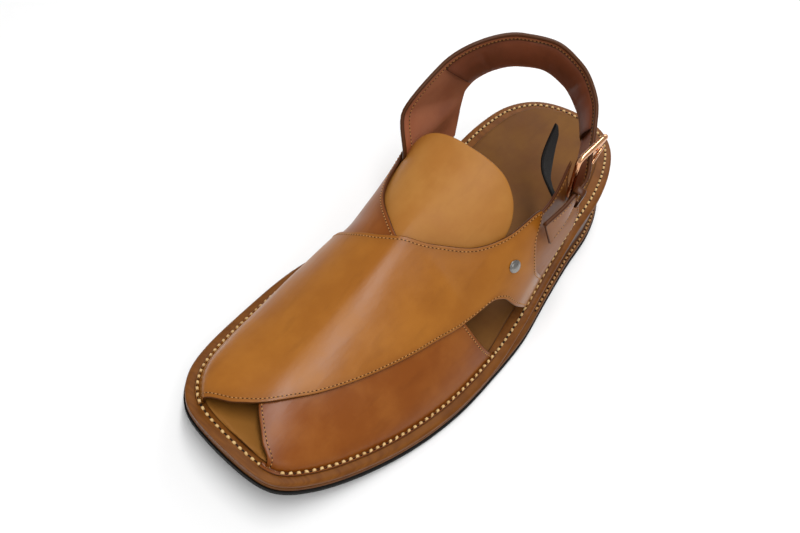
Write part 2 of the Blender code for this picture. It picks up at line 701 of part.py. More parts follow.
def rivet(name, share, turn):
    y = share * STITCH_LENGTH
    small = 0.004
    here = last(y, turn)
    normal = np.cross(last(y + MM, turn) - here, last(y, turn + small) - here)
    normal /= np.linalg.norm(normal)
    normal *= 1 if (normal @ (here - np.array([0.0, y, 0.4 * INSTEP]))) > 0 else -1
    height = 2 * LEATHER if turn < 0.5 else LEATHER
    base = here + normal * (height + GAP)
    aside = np.cross(normal, [0.0, 0.0, 1.0])
    aside /= np.linalg.norm(aside)
    over = np.cross(normal, aside)
    rings = ((1.0, 0.0), (1.0, 0.35), (0.8, 0.75), (0.45, 0.95))
    count = 12
    points = []
    for r, h in rings:
        for k in range(count):
            angle = 2 * math.pi * k / count
            around = math.cos(angle) * aside + math.sin(angle) * over
            points.append(base + normal * RIVET_HEIGHT * h + around * RIVET_RADIUS * r)
    points.append(base + normal * RIVET_HEIGHT)
    faces = [tuple(range(count))]
    for i in range(len(rings) - 1):
        for k in range(count):
            a, b = i * count + k, i * count + (k + 1) % count
            faces.append((a, a + count, b + count, b))
    last_ring = (len(rings) - 1) * count
    for k in range(count):
        faces.append((last_ring + k, len(points) - 1, last_ring + (k + 1) % count))
    make(name, points, faces)


def main():
    for obj in list(bpy.data.objects):
        bpy.data.objects.remove(obj, do_unlink=True)
    sole_parts()
    upper()
    tongue()
    heel_pad()
    guard()
    buckle()
    keeper()
    for name, (share, turn) in RIVETS.items():
        rivet(name, share, turn)


if __name__ == "__main__":
    main()
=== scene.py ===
"""Looks of the left chappal: burnished leather straps, thick welt stitches and a buckled heel.

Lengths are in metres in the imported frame. X runs to the lateral side and the toe points to -Y.
Tables hold shares of the shoe's named sizes, as the CAD source has them.
"""

import json
import math

import bpy
import numpy as np
from mathutils import Matrix, Vector

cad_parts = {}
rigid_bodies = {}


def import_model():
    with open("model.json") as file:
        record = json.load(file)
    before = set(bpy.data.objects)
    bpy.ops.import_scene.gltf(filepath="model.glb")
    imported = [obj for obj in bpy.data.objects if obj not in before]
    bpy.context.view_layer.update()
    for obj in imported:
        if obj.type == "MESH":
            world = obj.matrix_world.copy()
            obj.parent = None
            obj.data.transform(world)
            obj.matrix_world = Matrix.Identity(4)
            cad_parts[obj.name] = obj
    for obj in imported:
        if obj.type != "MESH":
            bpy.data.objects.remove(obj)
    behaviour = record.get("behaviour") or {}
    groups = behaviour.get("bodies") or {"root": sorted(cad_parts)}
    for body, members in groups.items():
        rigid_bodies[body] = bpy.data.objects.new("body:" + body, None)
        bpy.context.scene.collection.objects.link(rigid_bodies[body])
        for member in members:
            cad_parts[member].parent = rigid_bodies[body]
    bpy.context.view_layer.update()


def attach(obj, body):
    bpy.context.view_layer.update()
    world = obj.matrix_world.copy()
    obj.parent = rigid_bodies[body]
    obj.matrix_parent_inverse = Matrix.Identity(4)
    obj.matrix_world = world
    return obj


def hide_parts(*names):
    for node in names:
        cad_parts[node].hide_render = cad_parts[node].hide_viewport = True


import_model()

bl_info = {
    "name": "Stitched Chappal",
    "version": (1, 0, 0),
    "blender": (4, 5, 0),
    "location": "3D View > Sidebar > Chappal",
    "description": "Dresses the chappal's solids with leather, thread, rubber and metal",
    "category": "Object",
}

MM = 0.001

# Sizes of the shoe
STITCH_LENGTH = 285 * MM
BALL_WIDTH = 104.6 * MM
WELT_MARGIN = 5.5 * MM
WELT_MARGIN_REAR = 4.2 * MM
MIDSOLE_MARGIN_REAR = 7.0 * MM
RUBBER_REACH = 0.8 * MM
INSTEP = 66.0 * MM
STRAP_HEIGHT = 121.0 * MM
RUBBER = 3.2 * MM
LAYER = 2.7 * MM
TOE_SPRING = 15.0 * MM
HEEL_RISE = 29.0 * MM
FOOTBED = 2.8 * MM
FOOTBED_INSET = 5.0 * MM
FOOTBED_CROWN = 1.0 * MM
LEATHER = 1.7 * MM
STRAP_LEATHER = 1.6 * MM
FOOT_INSET = 2.4 * MM
TONGUE = 3.6 * MM
PAD = 2.6 * MM
GUARD = 1.2 * MM
BUCKLE_WIRE = 1.4 * MM
PRONG_WIRE = 0.8 * MM
RIVET_RADIUS = 3.3 * MM
RIVET_HEIGHT = 1.3 * MM
GAP = 0.3 * MM
SPRING_REACH = 0.27
WEDGE_START = 0.50
TOE_ACROSS = 0.057

OUTLINE = (
    # along, medial, lateral
    (0.007, -0.230, 0.172),
    (0.021, -0.310, 0.220),
    (0.053, -0.388, 0.277),
    (0.105, -0.444, 0.342),
    (0.210, -0.490, 0.435),
    (0.316, -0.499, 0.489),
    (0.421, -0.457, 0.498),
    (0.526, -0.384, 0.475),
    (0.632, -0.342, 0.427),
    (0.737, -0.376, 0.383),
    (0.842, -0.376, 0.350),
    (0.910, -0.344, 0.296),
    (0.965, -0.258, 0.216),
    (0.991, -0.143, 0.130),
)

RISE = (
    # along, share of the heel rise
    (0.000, 0.000),
    (0.460, 0.000),
    (0.526, 0.040),
    (0.579, 0.160),
    (0.632, 0.345),
    (0.684, 0.545),
    (0.737, 0.717),
    (0.842, 0.886),
    (0.950, 0.985),
    (1.000, 1.000),
)

SECTIONS = (
    # along, crest height, crest across, lateral fullness, medial fullness, medial bulge
    (0.000, 0.432, -0.060, 2.20, 2.2, 0.00),
    (0.053, 0.455, -0.075, 1.90, 2.2, 0.00),
    (0.123, 0.500, -0.080, 1.50, 1.8, 0.00),
    (0.207, 0.606, -0.085, 1.45, 1.65, 0.00),
    (0.300, 0.760, -0.088, 1.40, 1.65, 0.00),
    (0.354, 0.870, -0.090, 1.33, 1.75, 0.00),
    (0.404, 0.990, -0.092, 1.32, 1.9, 0.00),
    (0.450, 1.100, -0.090, 1.60, 2.2, 0.02),
    (0.505, 1.235, -0.085, 1.90, 2.6, 0.05),
    (0.580, 1.410, -0.080, 2.20, 3.0, 0.09),
    (0.640, 1.520, -0.075, 2.40, 3.4, 0.10),
    (0.750, 1.650, -0.060, 2.60, 3.4, 0.06),
)

# Turns between which the top panel climbs on the under one
BARE_FROM, COVERED_BY = 0.92, 0.80
TOP_PANEL = (
    # front along, front turn, rear along, rear turn
    (0.018, 1.000, 0.424, 1.000),
    (0.020, 0.870, 0.396, 0.900),
    (0.024, 0.730, 0.380, 0.790),
    (0.033, 0.594, 0.373, 0.680),
    (0.062, 0.475, 0.376, 0.595),
    (0.123, 0.353, 0.389, 0.505),
    (0.190, 0.295, 0.409, 0.412),
    (0.253, 0.261, 0.437, 0.359),
    (0.330, 0.228, 0.468, 0.316),
    (0.402, 0.199, 0.515, 0.282),
    (0.452, 0.192, 0.588, 0.246),
    (0.474, 0.171, 0.562, 0.200),
    (0.497, 0.116, 0.556, 0.140),
    (0.561, 0.000, 0.622, 0.000),
)
UNDER_PANEL = (
    # front along, front turn, rear along, rear turn
    (0.010, 0.000, 0.446, 0.000),
    (0.013, 0.160, 0.422, 0.090),
    (0.020, 0.310, 0.402, 0.199),
    (0.043, 0.425, 0.388, 0.300),
    (0.061, 0.480, 0.382, 0.400),
    (0.123, 0.600, 0.389, 0.503),
    (0.190, 0.690, 0.410, 0.595),
    (0.270, 0.755, 0.441, 0.676),
    (0.350, 0.810, 0.479, 0.730),
    (0.410, 0.868, 0.518, 0.758),
    (0.455, 0.886, 0.553, 0.772),
    (0.476, 0.890, 0.560, 0.833),
    (0.510, 0.950, 0.566, 0.905),
    (0.550, 1.000, 0.615, 1.000),
)

HEEL_STRAP = (
    # upper edge: across, along, height; lower edge: across, along, height
    (-0.408, 0.566, 0.255, -0.396, 0.716, 0.390),
    (-0.432, 0.550, 0.410, -0.420, 0.728, 0.470),
    (-0.448, 0.522, 0.575, -0.433, 0.733, 0.540),
    (-0.460, 0.550, 0.735, -0.434, 0.734, 0.600),
    (-0.444, 0.628, 0.868, -0.420, 0.743, 0.655),
    (-0.368, 0.690, 0.955, -0.348, 0.762, 0.739),
    (-0.236, 0.743, 0.999, -0.245, 0.783, 0.791),
    (-0.089, 0.773, 1.000, -0.132, 0.803, 0.805),
    (0.061, 0.779, 0.960, -0.010, 0.809, 0.778),
    (0.200, 0.760, 0.893, 0.119, 0.796, 0.722),
    (0.282, 0.722, 0.838, 0.229, 0.757, 0.671),
    (0.345, 0.684, 0.785, 0.308, 0.694, 0.652),
    (0.396, 0.652, 0.712, 0.380, 0.660, 0.575),
    (0.394, 0.610, 0.664, 0.408, 0.622, 0.522),
    (0.376, 0.556, 0.622, 0.412, 0.588, 0.471),
)
STRAP_ON_VAMP = 3
PADDED_ROWS = (4, 10)
PAD_TOP, PAD_BOTTOM = 0.10, 0.92

BUCKLE_TAB = (
    # front edge: across, along, height; rear edge: across, along, height
    (0.420, 0.570, 0.250, 0.393, 0.706, 0.345),
    (0.390, 0.540, 0.420, 0.385, 0.708, 0.430),
    (0.345, 0.545, 0.540, 0.368, 0.702, 0.500),
    (0.314, 0.604, 0.640, 0.332, 0.676, 0.555),
    (0.292, 0.648, 0.777, 0.285, 0.664, 0.655),
)
TAB_ON_VAMP = 3

GUARD_LEAF = (
    # front edge: across, along, height; rear edge: across, along, height
    (0.313, 0.628, 0.600, 0.333, 0.664, 0.520),
    (0.253, 0.635, 0.628, 0.268, 0.674, 0.529),
    (0.201, 0.640, 0.661, 0.210, 0.695, 0.529),
    (0.172, 0.639, 0.727, 0.167, 0.712, 0.595),
    (0.158, 0.649, 0.810, 0.153, 0.702, 0.727),
    (0.153, 0.660, 0.872, 0.153, 0.670, 0.851),
)

TONGUE_SHAPE = (
    # turn, front along, rear along
    (0.265, 0.380, 0.498),
    (0.285, 0.330, 0.535),
    (0.330, 0.305, 0.556),
    (0.400, 0.300, 0.564),
    (0.480, 0.300, 0.562),
    (0.560, 0.300, 0.560),
    (0.640, 0.300, 0.557),
    (0.710, 0.305, 0.552),
    (0.755, 0.330, 0.538),
    (0.778, 0.380, 0.500),
)
TONGUE_CROWN = 0.35

REAR_BAR_TOP = (0.358, 0.703, 0.872)
REAR_BAR_FOOT = (0.299, 0.727, 0.640)
FRONT_BAR_TOP = (0.335, 0.642, 0.813)
FRONT_BAR_FOOT = (0.352, 0.656, 0.590)

RIVETS = {"rivet_lateral": (0.509, 0.212), "rivet_medial": (0.530, 0.866)}

# Seams of the quarters over the panels, as along and turn
LATERAL_SEAM = ((0.496, 0.282), (0.480, 0.258), (0.467, 0.237), (0.450, 0.219), (0.437, 0.203))
MEDIAL_SEAM = ((0.482, 0.743), (0.472, 0.805), (0.457, 0.851), (0.444, 0.886))


class ChappalThread(bpy.types.PropertyGroup):
    welt_pitch: bpy.props.FloatProperty(
        name="Welt stitch pitch", description="Distance from one thick stitch to the next",
        default=3.65 * MM, min=2 * MM, max=8 * MM, unit="LENGTH")
    welt_thread: bpy.props.FloatProperty(
        name="Welt thread", description="Width of the thick waxed thread",
        default=1.35 * MM, min=0.5 * MM, max=2 * MM, unit="LENGTH")
    seam_pitch: bpy.props.FloatProperty(
        name="Seam stitch pitch", description="Distance from one fine stitch to the next",
        default=1.9 * MM, min=1 * MM, max=5 * MM, unit="LENGTH")
    seam_thread: bpy.props.FloatProperty(
        name="Seam thread", description="Width of the fine sewing thread",
        default=0.55 * MM, min=0.2 * MM, max=1 * MM, unit="LENGTH")
    seam_margin: bpy.props.FloatProperty(
        name="Seam margin", description="How far a fine seam lies inside its panel's edge",
        default=2.0 * MM, min=1 * MM, max=5 * MM, unit="LENGTH")


class ChappalColours(bpy.types.PropertyGroup):
    leather: bpy.props.StringProperty(
        name="Strap leather", description="Burnished cowhide, as sRGB hex", default="94591A")
    leather_dark: bpy.props.StringProperty(
        name="Burnish", description="Darkened edges of the straps, as sRGB hex", default="6A3A10")
    tongue: bpy.props.StringProperty(
        name="Tongue", description="Soft lighter cowhide, as sRGB hex", default="A0682C")
    lining: bpy.props.StringProperty(
        name="Lining", description="Brown red calf, as sRGB hex", default="6C3820")
    footbed: bpy.props.StringProperty(
        name="Footbed", description="Padded olive brown goat skin, as sRGB hex", default="62390F")
    thread: bpy.props.StringProperty(
        name="Welt thread", description="Waxed cream cord, as sRGB hex", default="DDBB80")
    metal: bpy.props.StringProperty(
        name="Buckle", description="Rose gold plate, as sRGB hex", default="E0A77C")


def eased(rows, column, x):
    """Monotone cubic through one column of a table, by the table's first column."""
    xs = np.array([row[0] for row in rows])
    ys = np.array([row[column] for row in rows])
    x = np.clip(x, xs[0], xs[-1])
    step = np.diff(xs)
    rise = np.diff(ys) / step
    slope = np.zeros(len(xs))
    slope[0], slope[-1] = rise[0], rise[-1]
    for i in range(1, len(xs) - 1):
        if rise[i - 1] * rise[i] > 0:
            before, after = 2 * step[i] + step[i - 1], step[i] + 2 * step[i - 1]
            slope[i] = (before + after) / (before / rise[i - 1] + after / rise[i])
    i = np.clip(np.searchsorted(xs, x) - 1, 0, len(step) - 1)
    t = (x - xs[i]) / step[i]
    left = (2 * t**3 - 3 * t**2 + 1) * ys[i] + (t**3 - 2 * t**2 + t) * step[i] * slope[i]
    right = (3 * t**2 - 2 * t**3) * ys[i + 1] + (t**3 - t**2) * step[i] * slope[i + 1]
    return left + right


def refined(rows, steps):
    """The rows of a table, with steps - 1 eased rows added between each two."""
    numbered = [(i, *row) for i, row in enumerate(rows)]
    at = np.linspace(0, len(rows) - 1, (len(rows) - 1) * steps + 1)
    return np.stack([eased(numbered, c, at) for c in range(1, len(numbered[0]))], 1)


def round_curve(points, per_span):
    """Closed centripetal Catmull-Rom curve through the points."""
    points = np.array(points, float)
    count = len(points)
    made = []
    for i in range(count):
        a, b, c, d = (points[(i + k) % count] for k in (-1, 0, 1, 2))
        t1 = np.linalg.norm(b - a) ** 0.5
        t2 = t1 + np.linalg.norm(c - b) ** 0.5
        t3 = t2 + np.linalg.norm(d - c) ** 0.5
        for t in np.linspace(t1, t2, per_span, endpoint=False):
            ab = (t1 - t) / t1 * a + t / t1 * b
            bc = (t2 - t) / (t2 - t1) * b + (t - t1) / (t2 - t1) * c
            cd = (t3 - t) / (t3 - t2) * c + (t - t2) / (t3 - t2) * d
            abc = (t2 - t) / t2 * ab + t / t2 * bc
            bcd = (t3 - t) / (t3 - t1) * bc + (t - t1) / (t3 - t1) * cd
            made.append((t2 - t) / (t2 - t1) * abc + (t - t1) / (t2 - t1) * bcd)
    return np.array(made)


def rearward(front, rear):
    """A margin that eases from its value at the front to the one beside the wedge."""
    def margin(y):
        share = np.clip((y / STITCH_LENGTH - 0.40) / 0.14, 0, 1)
        return front + (rear - front) * share**2 * (3 - 2 * share)
    return margin


def stitch_line(margin):
    """The stitch line moved outwards, as (across, along) points from the toe. The margin is a
    length, or a function of the distance along."""
    toe = [(TOE_ACROSS * BALL_WIDTH, 0.0)]
    heel = [(0.0, STITCH_LENGTH)]
    lateral = [(row[2] * BALL_WIDTH, row[0] * STITCH_LENGTH) for row in OUTLINE]
    medial = [(row[1] * BALL_WIDTH, row[0] * STITCH_LENGTH) for row in OUTLINE]
    points = round_curve(toe + lateral + heel + medial[::-1], 12)
    ahead = np.roll(points, -1, 0) - np.roll(points, 1, 0)
    ahead /= np.linalg.norm(ahead, axis=1)[:, None]
    reach = margin(points[:, 1])[:, None] if callable(margin) else margin
    return points + reach * np.stack([ahead[:, 1], -ahead[:, 0]], 1)


def sides(margin):
    """The lateral and the medial side of the moved stitch line, each from toe to heel."""
    points = stitch_line(margin)
    points = np.roll(points, -int(points[:, 1].argmin()), 0)
    heel = int(points[:, 1].argmax())
    return points[: heel + 1], np.vstack([points[heel:], points[:1]])[::-1]


FOOT_SIDES = sides(-FOOT_INSET)


def foot(y, lateral):
    """Across position of the last's foot on one side."""
    line = FOOT_SIDES[0 if lateral else 1]
    return np.interp(y, line[:, 1], line[:, 0])


def ground(y):
    return TOE_SPRING * np.clip(1 - y / (SPRING_REACH * STITCH_LENGTH), 0, None) ** 2


def lift(y):
    return HEEL_RISE * eased(RISE, 1, y / STITCH_LENGTH)


def rubber_top(y):
    return ground(y) + RUBBER


def midsole_top(y):
    return rubber_top(y) + GAP + LAYER


def welt_foot(y):
    return midsole_top(y) + GAP + lift(y)


def seat(y):
    """Top of the welt, where the upper and the footbed stand."""
    return welt_foot(y) + LAYER


def last(y, turn):
    """A point of the last at a distance along it and a turn round it."""
    share = y / STITCH_LENGTH
    lateral = turn < 0.5
    crest = eased(SECTIONS, 1, share) * INSTEP
    middle = eased(SECTIONS, 2, share) * BALL_WIDTH
    fullness = eased(SECTIONS, 3 if lateral else 4, share)
    out = abs(math.cos(turn * math.pi)) ** (2 / fullness)
    up = max(math.sin(turn * math.pi), 0.0) ** (2 / fullness)
    bulge = 0.0 if lateral else 2 * out * up * eased(SECTIONS, 5, share) * BALL_WIDTH
    across = middle + (foot(y, lateral) - middle) * out - bulge
    return np.array([across, y, seat(y) + (crest - seat(y)) * up])


def outward(points, inside):
    """Unit normals of a grid of points, pointing away from the point inside."""
    normals = np.cross(np.gradient(points, axis=0), np.gradient(points, axis=1))
    normals /= np.maximum(np.linalg.norm(normals, axis=2), 1e-12)[:, :, None]
    return normals if ((points - inside) * normals).sum() > 0 else -normals


def placed(points):
    """From the toe's frame to the part's frame, with its origin under the middle of the sole."""
    return np.asarray(points) - np.array([0.0, STITCH_LENGTH / 2, 0.0])


def scaled(rows):
    """Rows of two edges in metres, as an array of row, edge, coordinate."""
    size = np.array([BALL_WIDTH, STITCH_LENGTH, STRAP_HEIGHT])
    return np.array(rows).reshape(-1, 2, 3) * size


def ruled(edges, steps, cross, top=0.0, bottom=1.0):
    """A grid of points between the two edges."""
    table = refined([tuple(row.ravel()) for row in edges], steps)
    upper, lower = table[:, None, 0:3], table[:, None, 3:6]
    return upper + (lower - upper) * np.linspace(top, bottom, cross)[None, :, None]


def on_last(y, z, lateral):
    """The point of the last's side at a distance along it and a height."""
    turns = np.linspace(0.0, 0.45, 91) if lateral else np.linspace(1.0, 0.55, 91)
    points = np.array([last(y, turn) for turn in turns])
    return np.array([np.interp(z, points[:, 2], points[:, 0]), y, z])


def joined_to_vamp(rows, count, lateral):
    """The two edges of a band, its first ones moved onto the last inside the vamp panel."""
    edges = scaled(rows)
    for row in edges[:count]:
        row[0] = on_last(row[0, 1], row[0, 2], lateral)
    return edges


# Colour of the cut edges, which are painted by hand, made darker so that it is also painted shade for the gap under
# each edge
EDGE_PAINT_AND_SHADE = "3A1C08"


def linear(hex_colour):
    """sRGB hex to linear colour."""
    made = []
    for i in (0, 2, 4):
        value = int(hex_colour[i:i + 2], 16) / 255
        made.append(value / 12.92 if value <= 0.04045 else ((value + 0.055) / 1.055) ** 2.4)
    return (*made, 1.0)


def node(tree, kind, settings=None, **inputs):
    """Adds a node. Settings are its own values, inputs are values or links by socket name."""
    made = tree.nodes.new(kind)
    for name, value in (settings or {}).items():
        setattr(made, name, value)
    for name, value in inputs.items():
        key = int(name[1:]) if name[0] == "i" and name[1:].isdigit() else name.replace("_", " ")
        if isinstance(value, bpy.types.NodeSocket):
            tree.links.new(value, made.inputs[key])
        else:
            made.inputs[key].default_value = value
    return made


def new_material(name):
    made = bpy.data.materials.new(name)
    made.use_nodes = True
    tree = made.node_tree
    return made, tree, tree.nodes["Principled BSDF"]


def link(tree, socket, shader, name):
    tree.links.new(socket, shader.inputs[name])


def mixed(tree, factor, a, b, blend="MIX"):
    """Two colours mixed by a factor."""
    made = node(tree, "ShaderNodeMix", {"data_type": "RGBA", "blend_type": blend})
    for index, value in ((0, factor), (6, a), (7, b)):
        if isinstance(value, bpy.types.NodeSocket):
            tree.links.new(value, made.inputs[index])
        else:
            made.inputs[index].default_value = value
    return made.outputs[2]


def ranged(tree, value, low, high, to_low=0.0, to_high=1.0):
    """A value mapped from one range to another, eased at both ends."""
    made = node(tree, "ShaderNodeMapRange", {"interpolation_type": "SMOOTHSTEP"},
                Value=value, From_Min=low, From_Max=high, To_Min=to_low, To_Max=to_high)
    return made.outputs[0]


def leather(name, base, dark, light, roughness, pore=0.45 * MM, coat=0.0, edge_reach=9 * MM,
            crease=0.15, mottle=22 * MM, edge_dark=0.3, toe=None):
    """Cowhide, drummed, stained and polished by hand: darker where it is burnished near the edges, a cloudy stain
    over it, dark edge paint on the rims that is also painted shade for the gap under each edge, and fine pores
    that break up the gloss."""
    made, tree, shader = new_material(name)
    where = node(tree, "ShaderNodeTexCoord").outputs["Object"]
    cloud = node(tree, "ShaderNodeTexNoise", None, Vector=where, Scale=1 / mottle, Detail=4.0,
                 Roughness=0.55).outputs[0]
    streak_place = node(tree, "ShaderNodeMapping", None, Vector=where, Scale=(3.0, 0.7, 1.5)).outputs[0]
    streak = node(tree, "ShaderNodeTexNoise", None, Vector=streak_place, Scale=1 / (14 * MM),
                  Detail=3.0).outputs[0]
    pores = node(tree, "ShaderNodeTexVoronoi", None, Vector=where, Scale=1 / pore).outputs[0]
    fibres = node(tree, "ShaderNodeTexNoise", None, Vector=where, Scale=1 / (0.9 * MM), Detail=2.0).outputs[0]
    edge = node(tree, "ShaderNodeAttribute", {"attribute_name": "edge_distance"}).outputs["Fac"]
    colour = mixed(tree, ranged(tree, cloud, 0.35, 0.68), linear(base), linear(light))
    colour = mixed(tree, ranged(tree, streak, 0.50, 0.75, 0.0, 0.16), colour, linear(dark))
    burnish = ranged(tree, edge, 0.0, edge_reach, edge_dark, 0.0)
    colour = mixed(tree, burnish, colour, linear(dark))
    if toe:
        ahead = node(tree, "ShaderNodeSeparateXYZ", None, Vector=where).outputs["Y"]
        colour = mixed(tree, ranged(tree, ahead, -118 * MM, -105 * MM, 1.0, 0.0), colour, linear(toe))
    # Edge paint on the rims, darkened so that it also paints in the shade of the gap under each panel's edge
    edge_paint_and_shade = ranged(tree, edge, 0.1 * MM, 0.45 * MM, 0.85, 0.0)
    colour = mixed(tree, edge_paint_and_shade, colour, linear(EDGE_PAINT_AND_SHADE))
    link(tree, colour, shader, "Base Color")
    rough = ranged(tree, cloud, 0.3, 0.7, roughness - 0.05, roughness + 0.07)
    link(tree, rough, shader, "Roughness")
    grain = node(tree, "ShaderNodeBump", None, Height=pores, Strength=0.10, Distance=0.05 * MM).outputs[0]
    wrinkle = node(tree, "ShaderNodeBump", None, Height=streak, Strength=crease, Distance=1.0 * MM,
                   Normal=grain).outputs[0]
    fine = node(tree, "ShaderNodeBump", None, Height=fibres, Strength=0.08, Distance=0.08 * MM,
                Normal=wrinkle).outputs[0]
    link(tree, fine, shader, "Normal")
    shader.inputs["IOR"].default_value = 1.27
    shader.inputs["Coat Weight"].default_value = coat
    shader.inputs["Coat Roughness"].default_value = 0.3
    return made


def sole_edge(name, base, dark, roughness):
    """Stacked leather, cut, sanded and burnished with wax: fine lines run along its edge."""
    made, tree, shader = new_material(name)
    where = node(tree, "ShaderNodeTexCoord").outputs["Object"]
    layers = node(tree, "ShaderNodeMapping", None, Vector=where, Scale=(0.05, 0.05, 1.0)).outputs[0]
    lines = node(tree, "ShaderNodeTexNoise", None, Vector=layers, Scale=1 / (0.5 * MM), Detail=3.0).outputs[0]
    cloud = node(tree, "ShaderNodeTexNoise", None, Vector=where, Scale=1 / (12 * MM), Detail=3.0).outputs[0]
    colour = mixed(tree, ranged(tree, lines, 0.35, 0.7, 0.0, 0.6), linear(base), linear(dark))
    colour = mixed(tree, ranged(tree, cloud, 0.45, 0.75, 0.0, 0.6), colour, linear(dark))
    link(tree, colour, shader, "Base Color")
    bump = node(tree, "ShaderNodeBump", None, Height=lines, Strength=0.15, Distance=0.1 * MM).outputs[0]
    link(tree, bump, shader, "Normal")
    shader.inputs["Roughness"].default_value = roughness
    shader.inputs["IOR"].default_value = 1.25
    return made


def crepe_rubber(name, base):
    """Black synthetic rubber, moulded in a sheet: dull, with a faint dusty cast."""
    made, tree, shader = new_material(name)
    where = node(tree, "ShaderNodeTexCoord").outputs["Object"]
    dust = node(tree, "ShaderNodeTexNoise", None, Vector=where, Scale=1 / (2.2 * MM), Detail=5.0).outputs[0]
    colour = mixed(tree, ranged(tree, dust, 0.45, 0.75, 0.0, 0.5), linear(base), linear("1D1B19"))
    link(tree, colour, shader, "Base Color")
    bump = node(tree, "ShaderNodeBump", None, Height=dust, Strength=0.35, Distance=0.2 * MM).outputs[0]
    link(tree, bump, shader, "Normal")
    shader.inputs["Roughness"].default_value = 0.75
    shader.inputs["IOR"].default_value = 1.3
    return made


def waxed_cord(name, base, dark):
    """Waxed linen thread, twisted: the ply shows as slanted lines along each stitch."""
    made, tree, shader = new_material(name)
    where = node(tree, "ShaderNodeTexCoord").outputs["Object"]
    ply = node(tree, "ShaderNodeTexWave", {"wave_type": "BANDS", "bands_direction": "DIAGONAL"},
               Vector=where, Scale=1 / (1.6 * MM), Distortion=0.6).outputs[1]
    stain = node(tree, "ShaderNodeTexNoise", None, Vector=where, Scale=1 / (5 * MM), Detail=2.0).outputs[0]
    colour = mixed(tree, ranged(tree, ply, 0.2, 0.8, 0.35, 0.0), linear(base), linear(dark))
    colour = mixed(tree, ranged(tree, stain, 0.45, 0.7, 0.0, 0.45), colour, linear(dark))
    link(tree, colour, shader, "Base Color")
    bump = node(tree, "ShaderNodeBump", None, Height=ply, Strength=0.4, Distance=0.15 * MM).outputs[0]
    link(tree, bump, shader, "Normal")
    shader.inputs["Roughness"].default_value = 0.55
    return made


def plated_metal(name, base, roughness):
    """Cast zinc with a polished plate: bright, with hairlines from the buffing wheel."""
    made, tree, shader = new_material(name)
    where = node(tree, "ShaderNodeTexCoord").outputs["Object"]
    hair = node(tree, "ShaderNodeTexNoise", None, Vector=where, Scale=1 / (0.8 * MM), Detail=3.0).outputs[0]
    rough = ranged(tree, hair, 0.3, 0.7, roughness - 0.04, roughness + 0.08)
    link(tree, rough, shader, "Roughness")
    shader.inputs["Base Color"].default_value = linear(base)
    shader.inputs["Metallic"].default_value = 1.0
    return made


def wool_felt(name, base):
    """Black wool felt, pressed: matt, with a nap of short fibres that lifts the edge light."""
    made, tree, shader = new_material(name)
    where = node(tree, "ShaderNodeTexCoord").outputs["Object"]
    nap = node(tree, "ShaderNodeTexNoise", None, Vector=where, Scale=1 / (0.5 * MM), Detail=4.0).outputs[0]
    colour = mixed(tree, ranged(tree, nap, 0.4, 0.8), linear(base), linear("1C1917"))
    link(tree, colour, shader, "Base Color")
    bump = node(tree, "ShaderNodeBump", None, Height=nap, Strength=0.6, Distance=0.25 * MM).outputs[0]
    link(tree, bump, shader, "Normal")
    shader.inputs["Roughness"].default_value = 0.95
    shader.inputs["IOR"].default_value = 1.2
    shader.inputs["Sheen Weight"].default_value = 0.04
    return made


FINISHES = {}


def finish(name):
    """The materials, made once when the first piece asks."""
    if not FINISHES:
        hue = bpy.context.scene.chappal_colours
        FINISHES.update({
            "vamp": leather("burnished_cowhide", hue.leather, hue.leather_dark, "9E621E", 0.33, coat=0.12),
            "vamp_under": leather("burnished_red_brown_cowhide", "7E4210", "5A2604", "8A4E18", 0.33, coat=0.12),
            "quarter": leather("burnished_quarter_cowhide", "834C1C", hue.leather_dark, "8E5824", 0.42),
            "tongue": leather("soft_tan_cowhide", hue.tongue, "8E5A20", "A87234", 0.45, crease=0.08),
            "lining": leather("brown_red_lining_calf", hue.lining, "4C2312", "7A4026", 0.48, crease=0.2,
                              edge_reach=3 * MM),
            "facing": leather("brown_red_facing_calf", "945435", "74381F", "A06040", 0.5, crease=0.12,
                              edge_reach=2 * MM),
            "footbed": leather("padded_olive_goat_skin", hue.footbed, "4E2E0C", "70481A", 0.55, crease=0.12,
                               edge_reach=3 * MM, mottle=35 * MM, toe="8A5A22"),
            "binding": leather("turned_edge_cowhide", "85491C", "5E2E0E", "945A28", 0.38, edge_reach=1 * MM),
            "welt": sole_edge("waxed_leather_welt", "754516", "5C320E", 0.42),
            "midsole": sole_edge("waxed_leather_midsole", "6E4114", "50290A", 0.44),
            "wedge": leather("waxed_wedge_cover", "663B18", "3E2009", "744620", 0.45, edge_reach=2 * MM),
            "rubber": crepe_rubber("moulded_black_rubber", "0E0D0C"),
            # Painted shade: a dark rubber finish for the ovals that stand in for the shade inside the awl holes
            "hole": crepe_rubber("painted_awl_hole_shade", "1E0F05"),
            "welt_thread": waxed_cord("waxed_linen_cord", hue.thread, "A87B43"),
            "ledge_thread": waxed_cord("waxed_brown_cord", "C89458", "8A5A28"),
            "seam_thread": waxed_cord("waxed_fine_thread", "BC8444", "7E4E20"),
            "rose_gold": plated_metal("rose_gold_plate", hue.metal, 0.16),
            "silver": plated_metal("nickel_plate", "8E8C88", 0.28),
            "felt": wool_felt("pressed_black_felt", "0C0A09"),
        })
    return FINISHES[name]


